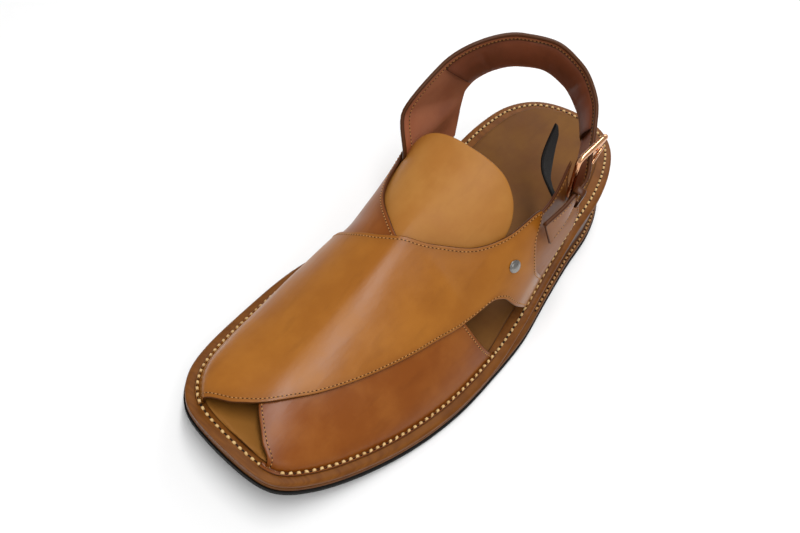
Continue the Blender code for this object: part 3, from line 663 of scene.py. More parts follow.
def new_object(name, points, faces, material, smooth_angle=40, attribute=None):
    """A mesh object that rides on the part's one body."""
    mesh = bpy.data.meshes.new(name)
    mesh.from_pydata([tuple(p) for p in placed(points)], [], faces)
    mesh.update()
    if sum(face.center.dot(face.normal) * face.area for face in mesh.polygons) < 0:
        mesh.flip_normals()
    mesh.shade_smooth()
    if smooth_angle:
        mesh.set_sharp_from_angle(angle=math.radians(smooth_angle))
    if attribute is not None:
        layer = mesh.attributes.new("edge_distance", "FLOAT", "POINT")
        layer.data.foreach_set("value", np.asarray(attribute, dtype=np.float32))
    mesh.materials.append(finish(material))
    obj = bpy.data.objects.new(name, mesh)
    bpy.context.scene.collection.objects.link(obj)
    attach(obj, "root")
    return obj


def grid_quads(rows, columns, start=0, flip=False):
    faces = []
    for i in range(rows - 1):
        for j in range(columns - 1):
            a = start + i * columns + j
            face = (a, a + columns, a + columns + 1, a + 1)
            faces.append(face[::-1] if flip else face)
    return faces


def edge_shares(length, count):
    """Shares across a piece that gather at both edges, for its rounded rim."""
    rim = np.array([0.0, 0.25, 0.6, 1.2, 2.5]) * MM / length
    middle = np.linspace(rim[-1], 1 - rim[-1], count)[1:-1]
    return np.concatenate([rim, middle, 1 - rim[::-1]])


def rim_round(distance, radius):
    """How far a face sinks at a distance from the rim, for an edge rounded by a radius."""
    inside = np.clip(1 - distance / radius, 0, 1)
    return radius * (1 - np.sqrt(1 - inside**2))


def wall(name, grid, normals, low, high, material, radius=0.6 * MM, smooth_angle=50, open_rows=()):
    """A leather wall over a grid: both faces, and rims that are rounded by a radius. Open rows
    are ends that stay square because another piece covers them."""
    span = np.linalg.norm(np.diff(grid, axis=1), axis=2)
    across = np.concatenate([np.zeros((len(grid), 1)), np.cumsum(span, 1)], 1)
    run = np.linalg.norm(np.diff(grid, axis=0), axis=2)
    along = np.concatenate([np.zeros((1, grid.shape[1])), np.cumsum(run, 0)], 0)
    distance = np.minimum(across, across[:, -1:] - across)
    if 0 not in open_rows:
        distance = np.minimum(distance, along)
    if -1 not in open_rows:
        distance = np.minimum(distance, along[-1:] - along)
    low = np.broadcast_to(np.asarray(low, float), distance.shape)[:, :, None]
    high = np.broadcast_to(np.asarray(high, float), distance.shape)[:, :, None]
    sink = rim_round(distance, radius)[:, :, None] * np.clip(0.5 * (high - low) / radius, 0, 1)
    inner, outer = grid + (low + sink * 0.6) * normals, grid + (high - sink) * normals
    rows, columns = distance.shape
    half = rows * columns
    points = np.vstack([inner.reshape(-1, 3), outer.reshape(-1, 3)])
    faces = grid_quads(rows, columns, 0, True) + grid_quads(rows, columns, half, False)
    rim = [i * columns for i in range(rows)]
    rim += [(rows - 1) * columns + j for j in range(1, columns)]
    rim += [i * columns + columns - 1 for i in range(rows - 2, -1, -1)]
    rim += list(range(columns - 2, 0, -1))
    for a, b in zip(rim, rim[1:] + rim[:1]):
        faces.append((a, b, b + half, a + half))
    reach = np.concatenate([distance.ravel(), distance.ravel()])
    return new_object(name, points, faces, material, smooth_angle, reach)


# A turned-out foot, from its skived edge inwards: reach, height, lean of its normal, thickness
TURNED_FOOT = (
    (3.5 * MM, 0.00 * MM, 0.00, 0.15),
    (3.2 * MM, 0.00 * MM, 0.00, 0.30),
    (2.7 * MM, 0.00 * MM, 0.00, 0.50),
    (2.1 * MM, 0.10 * MM, 0.12, 0.75),
    (1.4 * MM, 0.45 * MM, 0.45, 1.00),
    (0.8 * MM, 1.10 * MM, 0.75, 1.00),
)


def turned_foot(grid, lateral):
    """Rows that turn a panel's foot out on the welt in a soft bend, from its edge inwards, and
    the normals there."""
    base = grid[0] if grid.ndim == 3 else grid
    y = base[:, 1]
    slope = (foot(y + MM, lateral) - foot(y - MM, lateral)) / (2 * MM)
    side = np.stack([np.ones(len(base)), -slope, np.zeros(len(base))], 1)
    side *= (1 if lateral else -1) / np.linalg.norm(side, axis=1)[:, None]
    rows, normals = [], []
    for out, height, lean, _ in TURNED_FOOT:
        point = base + out * side
        point[:, 2] = seat(point[:, 1]) + GAP + height
        rows.append(point)
        normal = lean * side + np.array([0.0, 0.0, 1.0 - lean])
        normals.append(normal / np.linalg.norm(normal, axis=1)[:, None])
    return np.array(rows), np.array(normals)


def panel_surface(rows, steps=8, cross=44):
    """Domain, points and outward normals of a vamp panel, as grids."""
    table = refined(rows, steps)
    front, rear = table[:, None, 0:2], table[:, None, 2:4]
    shares = edge_shares(90 * MM, cross) ** 1.15
    domain = front + (rear - front) * shares[None, :, None]
    grid = np.array([[last(s * STITCH_LENGTH, t) for s, t in row] for row in domain])
    normals = outward(grid, np.array([0.0, 0.25 * STITCH_LENGTH, 0.3 * INSTEP]))
    return domain, grid, normals


def vamp_panel(name, rows, climbs):
    """A vamp panel with both feet turned out. One that climbs lies on the other panel, except
    near its medial foot. Returns what its seams need."""
    domain, grid, normals = panel_surface(rows)
    share = np.clip((BARE_FROM - domain[:, :, 1]) / (BARE_FROM - COVERED_BY), 0, 1)
    low = (LEATHER + 0.05 * MM) * share**2 * (3 - 2 * share) if climbs else 0 * share
    starts_lateral = rows[0][1] < 0.5
    first, first_normals = turned_foot(grid[0], starts_lateral)
    final, final_normals = turned_foot(grid[-1], not starts_lateral)
    full = np.concatenate([first, grid[1:-1], final[::-1]])
    directions = np.concatenate([first_normals, normals[1:-1], final_normals[::-1]])
    count = len(first)
    lows = np.concatenate([np.zeros((count, low.shape[1])), low[1:-1], np.zeros((count, low.shape[1]))])
    climb = lows.copy()
    if climbs:
        ramp = np.linspace(0, 1, 7)[:, None]
        climb[-count - 7:-count] *= 1 - 0.75 * ramp
    skive = np.array([row[3] for row in TURNED_FOOT])
    share = np.concatenate([skive, np.ones(len(full) - 2 * count), skive[::-1]])[:, None]
    wall(name, full, directions, climb, climb + LEATHER * share, "vamp" if climbs else "vamp_under")
    return full, directions, climb + LEATHER * share


def seam_path(surface, column_share, skip=7, from_rear=False):
    """Points of a seam that runs beside a panel's front or rear edge."""
    grid, normals, height = surface
    margin = bpy.context.scene.chappal_thread.seam_margin * column_share
    path = []
    for row, normal, top in list(zip(grid, normals, height))[skip:-skip]:
        if from_rear:
            row, normal, top = row[::-1], normal[::-1], top[::-1]
        run = np.concatenate([[0], np.cumsum(np.linalg.norm(np.diff(row, axis=0), axis=1))])
        point = np.array([np.interp(margin, run, row[:, k]) for k in range(3)])
        up = np.array([np.interp(margin, run, normal[:, k]) for k in range(3)])
        path.append((point + up * np.interp(margin, run, top), up))
    return path


def stitches(name, path, pitch, thread, length_share, material, closed=False, sink=0.35, count=6,
             wobble=0.0):
    """Short rounded stitches laid along a path of points and normals."""
    points = np.array([p for p, n in path])
    normals = np.array([n for p, n in path])
    if closed:
        points, normals = np.vstack([points, points[:1]]), np.vstack([normals, normals[:1]])
    run = np.concatenate([[0], np.cumsum(np.linalg.norm(np.diff(points, axis=0), axis=1))])
    number = max(int(round(run[-1] / pitch)), 1)
    step = run[-1] / number
    shuffled = np.random.default_rng(7)
    verts, faces = [], []
    stations = ((0.0, 0.35, -0.75), (0.12, 0.8, -0.1), (0.35, 1.0, 0.18), (0.65, 1.0, 0.18),
                (0.88, 0.8, -0.1), (1.0, 0.35, -0.75))
    for i in range(number):
        drift = shuffled.normal(0, wobble) if wobble else 0.0
        start = len(verts)
        for share, wide, high in stations:
            at = (i + 0.5 + (share - 0.5) * length_share) * step
            centre = np.array([np.interp(at, run, points[:, k]) for k in range(3)])
            up = np.array([np.interp(at, run, normals[:, k]) for k in range(3)])
            up /= np.linalg.norm(up)
            ahead = np.array([np.interp(at + 0.2 * MM, run, points[:, k]) for k in range(3)])
            ahead -= np.array([np.interp(at - 0.2 * MM, run, points[:, k]) for k in range(3)])
            ahead /= max(np.linalg.norm(ahead), 1e-9)
            aside = np.cross(ahead, up)
            centre = centre + aside * drift * (share - 0.5) + up * thread * (high - sink + 0.35)
            for k in range(count):
                angle = 2 * math.pi * k / count
                radius = thread / 2 * wide
                verts.append(centre + radius * (math.cos(angle) * aside + 0.85 * math.sin(angle) * up))
        for s in range(len(stations) - 1):
            for k in range(count):
                a, b = start + s * count + k, start + s * count + (k + 1) % count
                faces.append((a, b, b + count, a + count))
        faces.append(tuple(start + k for k in range(count))[::-1])
        end = start + (len(stations) - 1) * count
        faces.append(tuple(end + k for k in range(count)))
    # Dark ovals at each awl hole, as painted shade for the holes
    new_object(name + "_holes", *painted_hole_shades(points, normals, run, step, number, thread, closed), "hole", 0)
    return new_object(name, verts, faces, material, 0)


def painted_hole_shades(points, normals, run, step, number, thread, closed):
    """Dark ovals between the stitches, lying just proud of the leather: painted shade that stands in for the awl
    holes, which are not cut.
    """
    verts, faces = [], []
    sides = 8
    for i in range(number if closed else number + 1):
        at = i * step
        centre = np.array([np.interp(at, run, points[:, k]) for k in range(3)])
        up = np.array([np.interp(at, run, normals[:, k]) for k in range(3)])
        up /= np.linalg.norm(up)
        ahead = np.array([np.interp(at + 0.2 * MM, run, points[:, k]) for k in range(3)])
        ahead -= np.array([np.interp(at - 0.2 * MM, run, points[:, k]) for k in range(3)])
        ahead /= max(np.linalg.norm(ahead), 1e-9)
        aside = np.cross(ahead, up)
        start = len(verts)
        for height, size in ((-0.2 * MM, 1.0), (0.06 * MM, 1.0)):
            for k in range(sides):
                angle = 2 * math.pi * k / sides
                across = 0.42 * thread * math.sin(angle) * size
                along = 0.5 * step * 0.46 * math.cos(angle) * size
                verts.append(centre + up * height + aside * across + ahead * along)
        faces.append(tuple(start + k for k in range(sides))[::-1])
        faces.append(tuple(start + sides + k for k in range(sides)))
        for k in range(sides):
            a, b = start + k, start + (k + 1) % sides
            faces.append((a, b, b + sides, a + sides))
    return verts, faces


def sole_layer(name, margin, bottom, top, start, end, profile, material, slot_node, stations=150,
               crown=None):
    """A layer of the sole with a shaped edge. Profile rows are a share of the thickness and how
    far the edge stands back there; the crown gives the top's height from where it is."""
    lateral, medial = sides(margin)
    first = max(start * STITCH_LENGTH, lateral[0, 1])
    final = min(end * STITCH_LENGTH, lateral[-1, 1])
    inset = 0.02 * MM
    steps = (1 - np.cos(np.linspace(0, math.pi, stations))) / 2
    points, reach = [], []
    across = (0.97, 0.9, 0.8, 0.65, 0.45, 0.22, 0.0, -0.22, -0.45, -0.65, -0.8, -0.9, -0.97)
    for y in first + inset + (final - first - 2 * inset) * steps:
        low, high = bottom(y), top(y)
        left = np.interp(y, medial[:, 1], medial[:, 0])
        right = np.interp(y, lateral[:, 1], lateral[:, 0])
        half = (right - left) / 2
        rim = [(right - min(back, 0.5 * half), y, low + (high - low) * share) for share, back in profile]
        other = [(left + min(back, 0.5 * half), y, low + (high - low) * share) for share, back in profile]
        inner = (right - min(profile[-1][1], 0.5 * half) - (left + right) / 2)
        middle = []
        for share in across if crown else ():
            x = (left + right) / 2 + share * inner
            middle.append((x, y, high + crown(x, y, share, left, right)))
        points += rim + middle + other[::-1]
        ends = min(y - first, final - y)
        for x, _, _ in rim + middle + other[::-1]:
            reach.append(max(min(right - x, x - left, max(ends, 0.0)), 0.0))
    ring = len(points) // stations
    faces = []
    for i in range(stations - 1):
        for j in range(ring):
            a, b = i * ring + j, i * ring + (j + 1) % ring
            faces.append((a, b, b + ring, a + ring))
    faces.append(tuple(range(ring))[::-1])
    faces.append(tuple((stations - 1) * ring + j for j in range(ring)))
    obj = new_object(name, points, faces, material, 45, reach)
    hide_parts(slot_node)
    return obj


def edge_distance_of(x, y, left, right):
    return min(x - left, right - x, y, STITCH_LENGTH - y)


def footbed_relief(x, y, share, left, right):
    """Crown of the footbed, the groove inside its edge, and the soft bumps of its padding."""
    height = FOOTBED_CROWN * (1 - share**2)
    inside = min(x - left, right - x)
    height -= 0.55 * MM * math.exp(-((inside - 7 * MM) / (1.1 * MM)) ** 2)
    rear = np.clip((y / STITCH_LENGTH - 0.52) / 0.14, 0, 1)
    hills = math.sin(2 * math.pi * x / (24 * MM) + 0.6) * math.sin(2 * math.pi * y / (27 * MM))
    hills += 0.6 * math.sin(2 * math.pi * (x + y) / (38 * MM))
    return height + 0.45 * MM * hills * rear * np.clip((inside - 8 * MM) / (8 * MM), 0, 1)


class CHAPPAL_OT_sole(bpy.types.Operator):
    """Builds the rubber, the midsole, the wedge and the welt with their shaped edges"""
    bl_idname = "chappal.sole"
    bl_label = "Sole layers"

    def execute(self, context):
        rubber = ((0.0, 0.7 * MM), (0.15, 0.15 * MM), (0.3, 0.0), (0.8, 0.0), (0.92, 0.15 * MM), (1.0, 0.5 * MM))
        waxed = ((0.0, 0.3 * MM), (0.12, 0.05 * MM), (0.3, 0.0), (0.55, 0.1 * MM), (0.75, 0.45 * MM),
                 (0.90, 1.1 * MM), (0.97, 1.8 * MM), (1.0, 2.9 * MM))
        straight = ((0.0, 0.0), (0.03, 0.0), (0.97, 0.0), (1.0, 0.0))
        sole_margin = rearward(WELT_MARGIN, MIDSOLE_MARGIN_REAR)
        sole_layer("sole_rubber", rearward(WELT_MARGIN + RUBBER_REACH, MIDSOLE_MARGIN_REAR + RUBBER_REACH), ground, rubber_top, -1, 2, rubber, "rubber", "outsole")
        sole_layer("sole_midsole", sole_margin, lambda y: rubber_top(y) + GAP * 0.3, midsole_top, -1, 2,
                   waxed, "midsole", "midsole")
        sole_layer("sole_wedge", WELT_MARGIN_REAR - 0.6 * MM, lambda y: midsole_top(y) + GAP * 0.3,
                   lambda y: welt_foot(y) - GAP * 0.3, WEDGE_START, 2, straight, "wedge", "heel_wedge")
        sole_layer("sole_welt", rearward(WELT_MARGIN, WELT_MARGIN_REAR), welt_foot, seat, -1, 2, waxed, "welt", "welt")
        return {"FINISHED"}


class CHAPPAL_OT_footbed(bpy.types.Operator):
    """Builds the padded footbed with its groove and soft bumps"""
    bl_idname = "chappal.footbed"
    bl_label = "Footbed"

    def execute(self, context):
        rounded = ((0.0, 0.3 * MM), (0.2, 0.0), (0.55, 0.0), (0.8, 0.4 * MM), (0.94, 1.0 * MM), (1.0, 1.8 * MM))
        def padding(y):
            share = np.clip((y / STITCH_LENGTH - 0.06) / 0.14, 0, 1)
            return FOOTBED * (0.25 + 0.75 * share**2 * (3 - 2 * share))

        bed = sole_layer("footbed", rearward(-2.6 * MM, -FOOTBED_INSET), lambda y: seat(y) + GAP,
                         lambda y: seat(y) + GAP + padding(y), -1, 2, rounded, "footbed", "insole",
                         crown=footbed_relief)
        return {"FINISHED"}


class CHAPPAL_OT_upper(bpy.types.Operator):
    """Builds the vamp panels, the quarters and the heel strap"""
    bl_idname = "chappal.upper"
    bl_label = "Upper"

    def execute(self, context):
        under = vamp_panel("vamp_under_panel", UNDER_PANEL, False)
        top = vamp_panel("vamp_top_panel", TOP_PANEL, True)
        thread = context.scene.chappal_thread
        for name, surface, rear in (("seam_top_front", top, False), ("seam_throat", top, True),
                                    ("seam_under_front", under, False), ("seam_under_rear", under, True)):
            path = seam_path(surface, 1.0, from_rear=rear)
            stitches(name, path, thread.seam_pitch, thread.seam_thread, 0.60, "seam_thread")
        heart = np.array([0.0, 0.68 * STITCH_LENGTH, 0.6 * STRAP_HEIGHT])
        self.band("heel_strap", joined_to_vamp(HEEL_STRAP, STRAP_ON_VAMP, False), heart, False,
                  -STRAP_LEATHER / 2, STRAP_LEATHER / 2, thread)
        self.band("buckle_tab", joined_to_vamp(BUCKLE_TAB, TAB_ON_VAMP, True), heart, True,
                  0.0, STRAP_LEATHER, thread)
        self.bound_edge(thread, heart)
        for obj in [o for o in bpy.data.objects if o.name.startswith(("vamp_", "heel_strap", "buckle_tab"))]:
            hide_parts("upper")
        return {"FINISHED"}

    def bound_edge(self, thread, heart):
        """The strap's turned upper edge and the seam inside it, seen from the lining side."""
        edges = joined_to_vamp(HEEL_STRAP, STRAP_ON_VAMP, False)
        grid = ruled(edges, 8, 12)
        normals = outward(grid, heart)
        rim = [tuple(p) for p in grid[10:, 0] - normals[10:, 0] * 0.15 * MM]
        new_object("heel_strap_binding", *tube(rim, 1.05 * MM, False, 12), "binding", 0)
        path = [(grid[i, 1] - normals[i, 1] * (STRAP_LEATHER / 2 + 0.1 * MM), -normals[i, 1])
                for i in range(10, len(grid) - 8)]
        stitches("heel_strap_binding_seam", path, thread.seam_pitch, thread.seam_thread, 0.60, "seam_thread")

    def band(self, name, edges, heart, lateral, low, high, thread):
        """A quarter that rises from the welt: leather outside and the lining inside."""
        grid = ruled(edges, 10, 3)
        shares = edge_shares(22 * MM, 14)
        grid = grid[:, :1] + (grid[:, -1:] - grid[:, :1]) * shares[None, :, None]
        normals = outward(grid, heart)
        base = grid[0].copy()
        base[:, 0] = foot(base[:, 1], lateral)
        first, first_normals = turned_foot(base, lateral)
        full = np.concatenate([first, grid])
        directions = np.concatenate([first_normals, normals])
        middle = low + 0.55 * (high - low)
        skive = np.array([row[3] for row in TURNED_FOOT])
        share = np.concatenate([skive, np.ones(len(grid))])[:, None]
        wall(name, full, directions, middle * share, high * share, "quarter", 0.5 * MM)
        wall(name + "_lining", full[6:], directions[6:], low, middle - 0.02 * MM, "facing", 0.3 * MM)
        surface = full[6:], directions[6:], np.full(full[6:].shape[:2], high)
        for rear, side in ((False, "front"), (True, "rear")):
            path = seam_path(surface, 0.8, skip=3, from_rear=rear)
            stitches("seam_%s_%s" % (name, side), path, thread.seam_pitch, thread.seam_thread, 0.60, "seam_thread")


class CHAPPAL_OT_tongue(bpy.types.Operator):
    """Builds the soft tongue under the vamp panels"""
    bl_idname = "chappal.tongue"
    bl_label = "Tongue"

    def execute(self, context):
        table = refined(TONGUE_SHAPE, 8)
        shares = edge_shares(60 * MM, 26)
        grid = np.array([[last((a + (b - a) * s) * STITCH_LENGTH, turn) for s in shares] for turn, a, b in table])
        normals = outward(grid, np.array([0.0, 0.4 * STITCH_LENGTH, 0.3 * INSTEP]))
        across = np.linspace(-1, 1, grid.shape[0])[:, None]
        ahead = (shares * 2 - 1)[None, :]
        crown = 1 - TONGUE_CROWN * np.maximum(np.abs(across), np.abs(ahead)) ** 4
        high = np.full(crown.shape, -(GAP + 0.3 * MM))
        obj = wall("tongue_pad", grid, normals, high - TONGUE * crown, high, "tongue", 1.5 * MM, 60)
        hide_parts("tongue")
        return {"FINISHED"}


class CHAPPAL_OT_heel_pad(bpy.types.Operator):
    """Builds the padded strip inside the heel strap, with its wrinkles"""
    bl_idname = "chappal.heel_pad"
    bl_label = "Heel pad"

    def execute(self, context):
        heart = np.array([0.0, 0.68 * STITCH_LENGTH, 0.6 * STRAP_HEIGHT])
        edges = joined_to_vamp(HEEL_STRAP, STRAP_ON_VAMP, False)
        steps = 14
        grid = ruled(edges, steps, 17, PAD_TOP, PAD_BOTTOM)
        lined = slice(PADDED_ROWS[0] * steps, PADDED_ROWS[1] * steps + 1)
        normals = outward(grid, heart)[lined]
        grid = grid[lined]
        face = STRAP_LEATHER / 2 + 0.1 * MM
        across = np.linspace(0, 1, grid.shape[1])[None, :]
        along = np.linspace(0, 1, grid.shape[0])[:, None]
        swell = np.sin(np.clip(across * 0.96 + 0.02, 0, 1) * math.pi) ** 0.6
        crease = np.zeros((grid.shape[0], grid.shape[1]))
        for place, lean, depth in ((0.16, 0.02, 0.8), (0.34, -0.03, 0.55), (0.52, 0.02, 0.4), (0.72, -0.02, 0.65),
                                   (0.80, 0.03, 0.5)):
            crease += depth * np.exp(-((along - place - lean * (across - 0.5)) / 0.012) ** 2)
        thick = PAD * swell - 0.6 * MM * np.clip(crease, 0, 1) * swell
        obj = wall("heel_strap_pad", grid, normals, -face - thick, np.full(thick.shape, -face), "lining", 0.5 * MM, 60)
        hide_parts("heel_pad")
        return {"FINISHED"}


class CHAPPAL_OT_guard(bpy.types.Operator):
    """Builds the felt leaf between the buckle and the foot"""
    bl_idname = "chappal.guard"
    bl_label = "Felt leaf"

    def execute(self, context):
        grid = ruled(scaled(GUARD_LEAF), 8, 15)
        normals = outward(grid, np.array([-0.5 * BALL_WIDTH, 0.6 * STITCH_LENGTH, 0.6 * STRAP_HEIGHT]))
        obj = wall("felt_leaf", grid, normals, -GUARD / 2, GUARD / 2, "felt", 0.4 * MM)
        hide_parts("buckle_guard")
        return {"FINISHED"}


class CHAPPAL_OT_buckle(bpy.types.Operator):
    """Builds the buckle, its prong, the keeper loop and the rivets"""
    bl_idname = "chappal.buckle"
    bl_label = "Buckle and rivets"

    def execute(self, context):
        size = np.array([BALL_WIDTH, STITCH_LENGTH, STRAP_HEIGHT])
        corners = [np.array(p) * size for p in (REAR_BAR_TOP, REAR_BAR_FOOT, FRONT_BAR_FOOT, FRONT_BAR_TOP)]
        frame_path = rounded_loop(corners, 3 * MM, 9)
        self.metal("buckle_loop", tube(frame_path, BUCKLE_WIRE, True, 16), "rose_gold", "buckle_frame")
        along = (corners[3] + corners[2] - corners[0] - corners[1]) / 2
        face = np.cross(corners[0] - corners[1], along)
        face /= np.linalg.norm(face)
        face *= 1 if face[0] > 0 else -1
        centre = (corners[0] + corners[1]) / 2
        clear = BUCKLE_WIRE + PRONG_WIRE + GAP
        reach = ((-0.2, 1.05), (0.10, 1.05), (0.35, 1.1))
        prong = [centre + face * clear * out + along * ahead for ahead, out in reach]
        self.metal("buckle_tongue", tube(smoothed(prong, 6), PRONG_WIRE, False, 12), "rose_gold", "buckle_prong")
        self.keeper()
        for name, (share, turn) in RIVETS.items():
            self.rivet(name, share, turn)
        return {"FINISHED"}

    def metal(self, name, shape, material, slot_node):
        obj = new_object(name, *shape, material, 0)
        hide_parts(slot_node)
        return obj

    def keeper(self):
        """A narrow leather loop round the strap's free end."""
        rows = scaled(HEEL_STRAP)
        upper_edge, lower_edge = rows[-3]
        next_upper, next_lower = rows[-2]
        ahead = (next_upper + next_lower - upper_edge - lower_edge) / 2
        ahead /= np.linalg.norm(ahead)
        wide = upper_edge - lower_edge
        wide -= ahead * (wide @ ahead)
        half = np.linalg.norm(wide) / 2 + 1.6 * MM
        wide /= np.linalg.norm(wide)
        face = np.cross(wide, ahead)
        face *= 1 if face[0] > 0 else -1
        centre = (upper_edge + lower_edge) / 2 + ahead * 2.5 * MM
        near, far, thick, breadth = 2.2 * MM, -1.9 * MM, 1.0 * MM, 3.8 * MM
        loop = rounded_loop([centre + wide * (half + thick / 2) + face * (near + thick / 2),
                             centre + wide * (half + thick / 2) + face * (far - thick / 2),
                             centre - wide * (half + thick / 2) + face * (far - thick / 2),
                             centre - wide * (half + thick / 2) + face * (near + thick / 2)], 1.8 * MM, 8)
        verts, faces = tube(loop, 1.0, True, 16)
        middle = np.repeat(np.array(loop), 16, axis=0)
        offset = np.array(verts) - middle
        forward = (offset @ ahead)[:, None]
        rest = offset - forward * ahead
        verts = middle + forward * ahead * breadth / 2 + rest * thick / 2
        obj = new_object("keeper_loop", verts, faces, "binding", 0)
        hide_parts("strap_keeper")

    def rivet(self, name, share, turn):
        """A domed rivet head with a turned rim."""
        y = share * STITCH_LENGTH
        here = last(y, turn)
        normal = np.cross(last(y + MM, turn) - here, last(y, turn + 0.004) - here)
        normal /= np.linalg.norm(normal)
        normal *= 1 if normal @ (here - np.array([0.0, y, 0.4 * INSTEP])) > 0 else -1
        base = here + normal * ((2 if turn < 0.5 else 1) * LEATHER + 0.1 * MM)
        aside = np.cross(normal, [0.0, 0.0, 1.0])
        aside /= np.linalg.norm(aside)
        over = np.cross(normal, aside)
        rings = ((0.9, 0.0), (1.0, 0.1), (1.02, 0.25), (0.97, 0.42), (0.86, 0.5), (0.8, 0.5), (0.72, 0.62),
                 (0.55, 0.82), (0.35, 0.94), (0.15, 0.99))
        count = 32
        points = []
        for r, h in rings:
            for k in range(count):
                angle = 2 * math.pi * k / count
                around = math.cos(angle) * aside + math.sin(angle) * over
                points.append(base + normal * RIVET_HEIGHT * h + around * RIVET_RADIUS * r)
        points.append(base + normal * RIVET_HEIGHT)
        faces = [tuple(range(count))]
        for i in range(len(rings) - 1):
            for k in range(count):
                a, b = i * count + k, i * count + (k + 1) % count
                faces.append((a, a + count, b + count, b))
        start = (len(rings) - 1) * count
        faces += [(start + k, len(points) - 1, start + (k + 1) % count) for k in range(count)]
        obj = new_object(name + "_head", points, faces, "silver", 0)
        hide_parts(name)


def smoothed(points, steps):
    return refined([tuple(p) for p in points], steps)


def tube(path, radius, closed, count):
    """Points and faces of a round wire along a path."""
    path = np.array(path)
    level = np.cross(path[1] - path[0], path[-1] - path[0] + (0 if closed else np.array([0, 0, 1e-6])))
    ahead = np.roll(path, -1, 0) - np.roll(path, 1, 0) if closed else np.gradient(path, axis=0)
    ahead /= np.linalg.norm(ahead, axis=1)[:, None]
    level /= np.linalg.norm(level)
    points, faces = [], []
    for p, a in zip(path, ahead):
        aside = np.cross(a, level)
        aside /= np.linalg.norm(aside)
        over = np.cross(aside, a)
        for k in range(count):
            angle = 2 * math.pi * k / count
            points.append(p + radius * (math.cos(angle) * aside + math.sin(angle) * over))
    for i in range(len(path) if closed else len(path) - 1):
        for k in range(count):
            a, b = i * count + k, i * count + (k + 1) % count
            c, d = (((i + 1) % len(path)) * count + j % count for j in (k + 1, k))
            faces.append((a, b, c, d))
    if not closed:
        faces.append(tuple(range(count))[::-1])
        faces.append(tuple((len(path) - 1) * count + k for k in range(count)))
    return points, faces


def rounded_loop(corners, radius, per_corner):
    """A closed path through four corners, each cut by an arc-like curve."""
    corners = np.array(corners)
    path = []
    for i, corner in enumerate(corners):
        before = corners[i - 1] - corner
        after = corners[(i + 1) % 4] - corner
        start = corner + before / np.linalg.norm(before) * radius
        end = corner + after / np.linalg.norm(after) * radius
        for t in np.linspace(0, 1, per_corner):
            path.append((1 - t) ** 2 * start + 2 * t * (1 - t) * corner + t**2 * end)
    return path


class CHAPPAL_OT_welt_thread(bpy.types.Operator):
    """Lays the thick stitches on the welt and on the ledge under the heel"""
    bl_idname = "chappal.welt_thread"
    bl_label = "Welt stitches"

    def execute(self, context):
        thread = context.scene.chappal_thread
        up = np.array([0.0, 0.0, 1.0])
        line = stitch_line(0.0)
        path = []
        for x, y in line:
            side = x > 0
            share = y / STITCH_LENGTH
            covered = self.on_foot(share, side)
            path.append((np.array([x, y, seat(y) + (GAP + 0.62 * LEATHER) * covered]), up))
        stitches("welt_stitches", path, thread.welt_pitch, thread.welt_thread, 0.60, "welt_thread", True,
                 0.25, 10, 0.3 * MM)
        lower = []
        for x, y in stitch_line(MIDSOLE_MARGIN_REAR - 1.8 * MM):
            if y > (WEDGE_START + 0.09) * STITCH_LENGTH:
                lower.append((np.array([x, y, midsole_top(y) + 0.1 * MM]), up))
        lower.sort(key=lambda row: math.atan2(row[0][0], row[0][1] - 0.6 * STITCH_LENGTH))
        stitches("ledge_stitches", lower, thread.welt_pitch, thread.welt_thread * 0.9, 0.60, "ledge_thread",
                 False, 0.25, 10, 0.3 * MM)
        return {"FINISHED"}

    def on_foot(self, share, lateral):
        """How far a place on the welt is covered by a turned-out foot, from 0 to 1."""
        feet = ((0.010, 0.450), (0.556, 0.712)) if lateral else ((0.010, 0.430), (0.545, 0.712))
        soft = 0.006
        best = 0.0
        for start, end in feet:
            best = max(best, min(np.clip((share - start) / soft + 0.5, 0, 1), np.clip((end - share) / soft + 0.5, 0, 1)))
        return best


# Where the one shoe's middle lies in the photograph's view, as tangents from its middle
SHOE_ASIDE, SHOE_BELOW = 0.081, 0.064


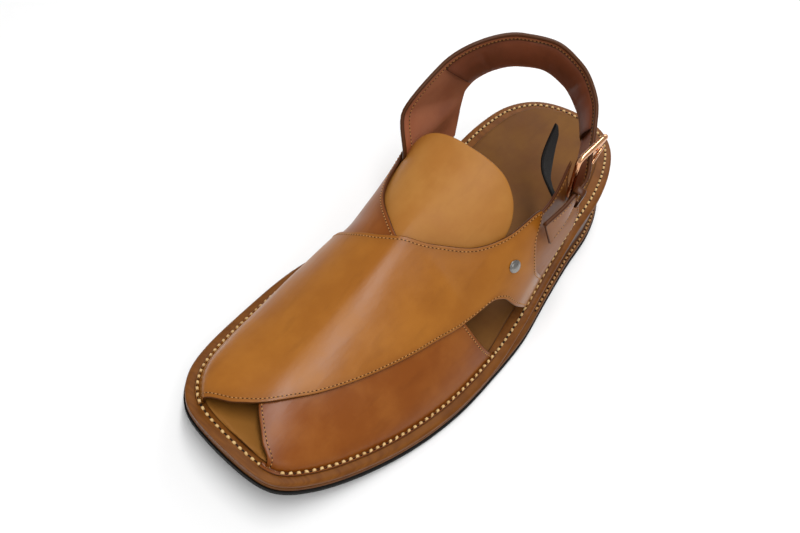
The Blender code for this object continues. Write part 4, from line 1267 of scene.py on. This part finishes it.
class CHAPPAL_OT_stage(bpy.types.Operator):
    """Adds the floor, the lights and the camera"""
    bl_idname = "chappal.stage"
    bl_label = "Stage"

    def execute(self, context):
        mesh = bpy.data.meshes.new("floor")
        mesh.from_pydata([(-4, -4, -0.0002), (4, -4, -0.0002), (4, 4, -0.0002), (-4, 4, -0.0002)], [], [(0, 1, 2, 3)])
        material, tree, shader = new_material("pale_floor")
        shader.inputs["Base Color"].default_value = (0.9, 0.9, 0.9, 1)
        shader.inputs["Roughness"].default_value = 0.9
        mesh.materials.append(material)
        floor = bpy.data.objects.new("floor", mesh)
        context.scene.collection.objects.link(floor)
        world = bpy.data.worlds.new("soft_studio")
        world.use_nodes = True
        world.node_tree.nodes["Background"].inputs["Color"].default_value = (1.0, 1.0, 1.0, 1)
        world.node_tree.nodes["Background"].inputs["Strength"].default_value = 0.45
        context.scene.world = world
        context.scene.view_settings.view_transform = "Standard"
        for name, place, width, length, power in (("key", (0.06, -0.08, 1.0), 0.14, 0.9, 7.0),
                                                  ("fill", (0.8, -0.6, 0.9), 0.7, 0.7, 2.5),
                                                  ("back", (-0.2, 1.0, 0.8), 0.8, 0.5, 3.5)):
            light = bpy.data.lights.new(name, "AREA")
            light.shape = "RECTANGLE"
            light.size, light.size_y, light.energy = width, length, power
            obj = bpy.data.objects.new(name, light)
            obj.location = place
            obj.rotation_euler = (Vector((0, 0, 0.04)) - Vector(place)).to_track_quat("-Z", "Y").to_euler()
            context.scene.collection.objects.link(obj)
        self.camera(context)
        return {"FINISHED"}

    def camera(self, context):
        """The photograph's own place, with its tilt and slight roll, turned to the one shoe."""
        forward = Vector((-0.3877, 0.5336, -0.7517))
        right = Vector((0.809, 0.5878, 0.0))
        up = Vector((-0.4418, 0.6082, 0.6596))
        roll = math.radians(7.838)
        aside = right * math.cos(roll) + up * math.sin(roll)
        above = up * math.cos(roll) - right * math.sin(roll)
        forward = (forward + aside * SHOE_ASIDE - above * SHOE_BELOW).normalized()
        aside = (aside - forward * aside.dot(forward)).normalized()
        above = aside.cross(forward)
        place = Matrix((aside, above, -forward)).transposed().to_4x4()
        place.translation = Vector((0.1048, -0.2395, 0.340))
        data = bpy.data.cameras.new("photo_view")
        data.lens, data.sensor_width = 35.0, 36.0
        data.clip_start, data.clip_end = 0.01, 20.0
        camera = bpy.data.objects.new("photo_view", data)
        camera.matrix_world = place
        context.scene.collection.objects.link(camera)
        context.scene.camera = camera


class CHAPPAL_PT_panel(bpy.types.Panel):
    """Lists the chappal's pieces"""
    bl_idname = "CHAPPAL_PT_panel"
    bl_label = "Chappal"
    bl_space_type = "VIEW_3D"
    bl_region_type = "UI"
    bl_category = "Chappal"

    def draw(self, context):
        for group in (context.scene.chappal_thread, context.scene.chappal_colours):
            for name in group.__annotations__:
                self.layout.prop(group, name)
        for operator in OPERATORS:
            self.layout.operator(operator.bl_idname)


OPERATORS = (CHAPPAL_OT_stage, CHAPPAL_OT_sole, CHAPPAL_OT_footbed, CHAPPAL_OT_upper, CHAPPAL_OT_tongue,
             CHAPPAL_OT_heel_pad, CHAPPAL_OT_guard, CHAPPAL_OT_buckle, CHAPPAL_OT_welt_thread)
CLASSES = (ChappalThread, ChappalColours, *OPERATORS, CHAPPAL_PT_panel)


def register():
    for cls in CLASSES:
        bpy.utils.register_class(cls)
    bpy.types.Scene.chappal_thread = bpy.props.PointerProperty(type=ChappalThread)
    bpy.types.Scene.chappal_colours = bpy.props.PointerProperty(type=ChappalColours)


def unregister():
    del bpy.types.Scene.chappal_colours
    del bpy.types.Scene.chappal_thread
    for cls in reversed(CLASSES):
        bpy.utils.unregister_class(cls)


def main():
    register()
    bpy.ops.chappal.stage()
    bpy.ops.chappal.sole()
    bpy.ops.chappal.footbed()
    bpy.ops.chappal.upper()
    bpy.ops.chappal.tongue()
    bpy.ops.chappal.heel_pad()
    bpy.ops.chappal.guard()
    bpy.ops.chappal.buckle()
    bpy.ops.chappal.welt_thread()


if __name__ == "__main__":
    main()
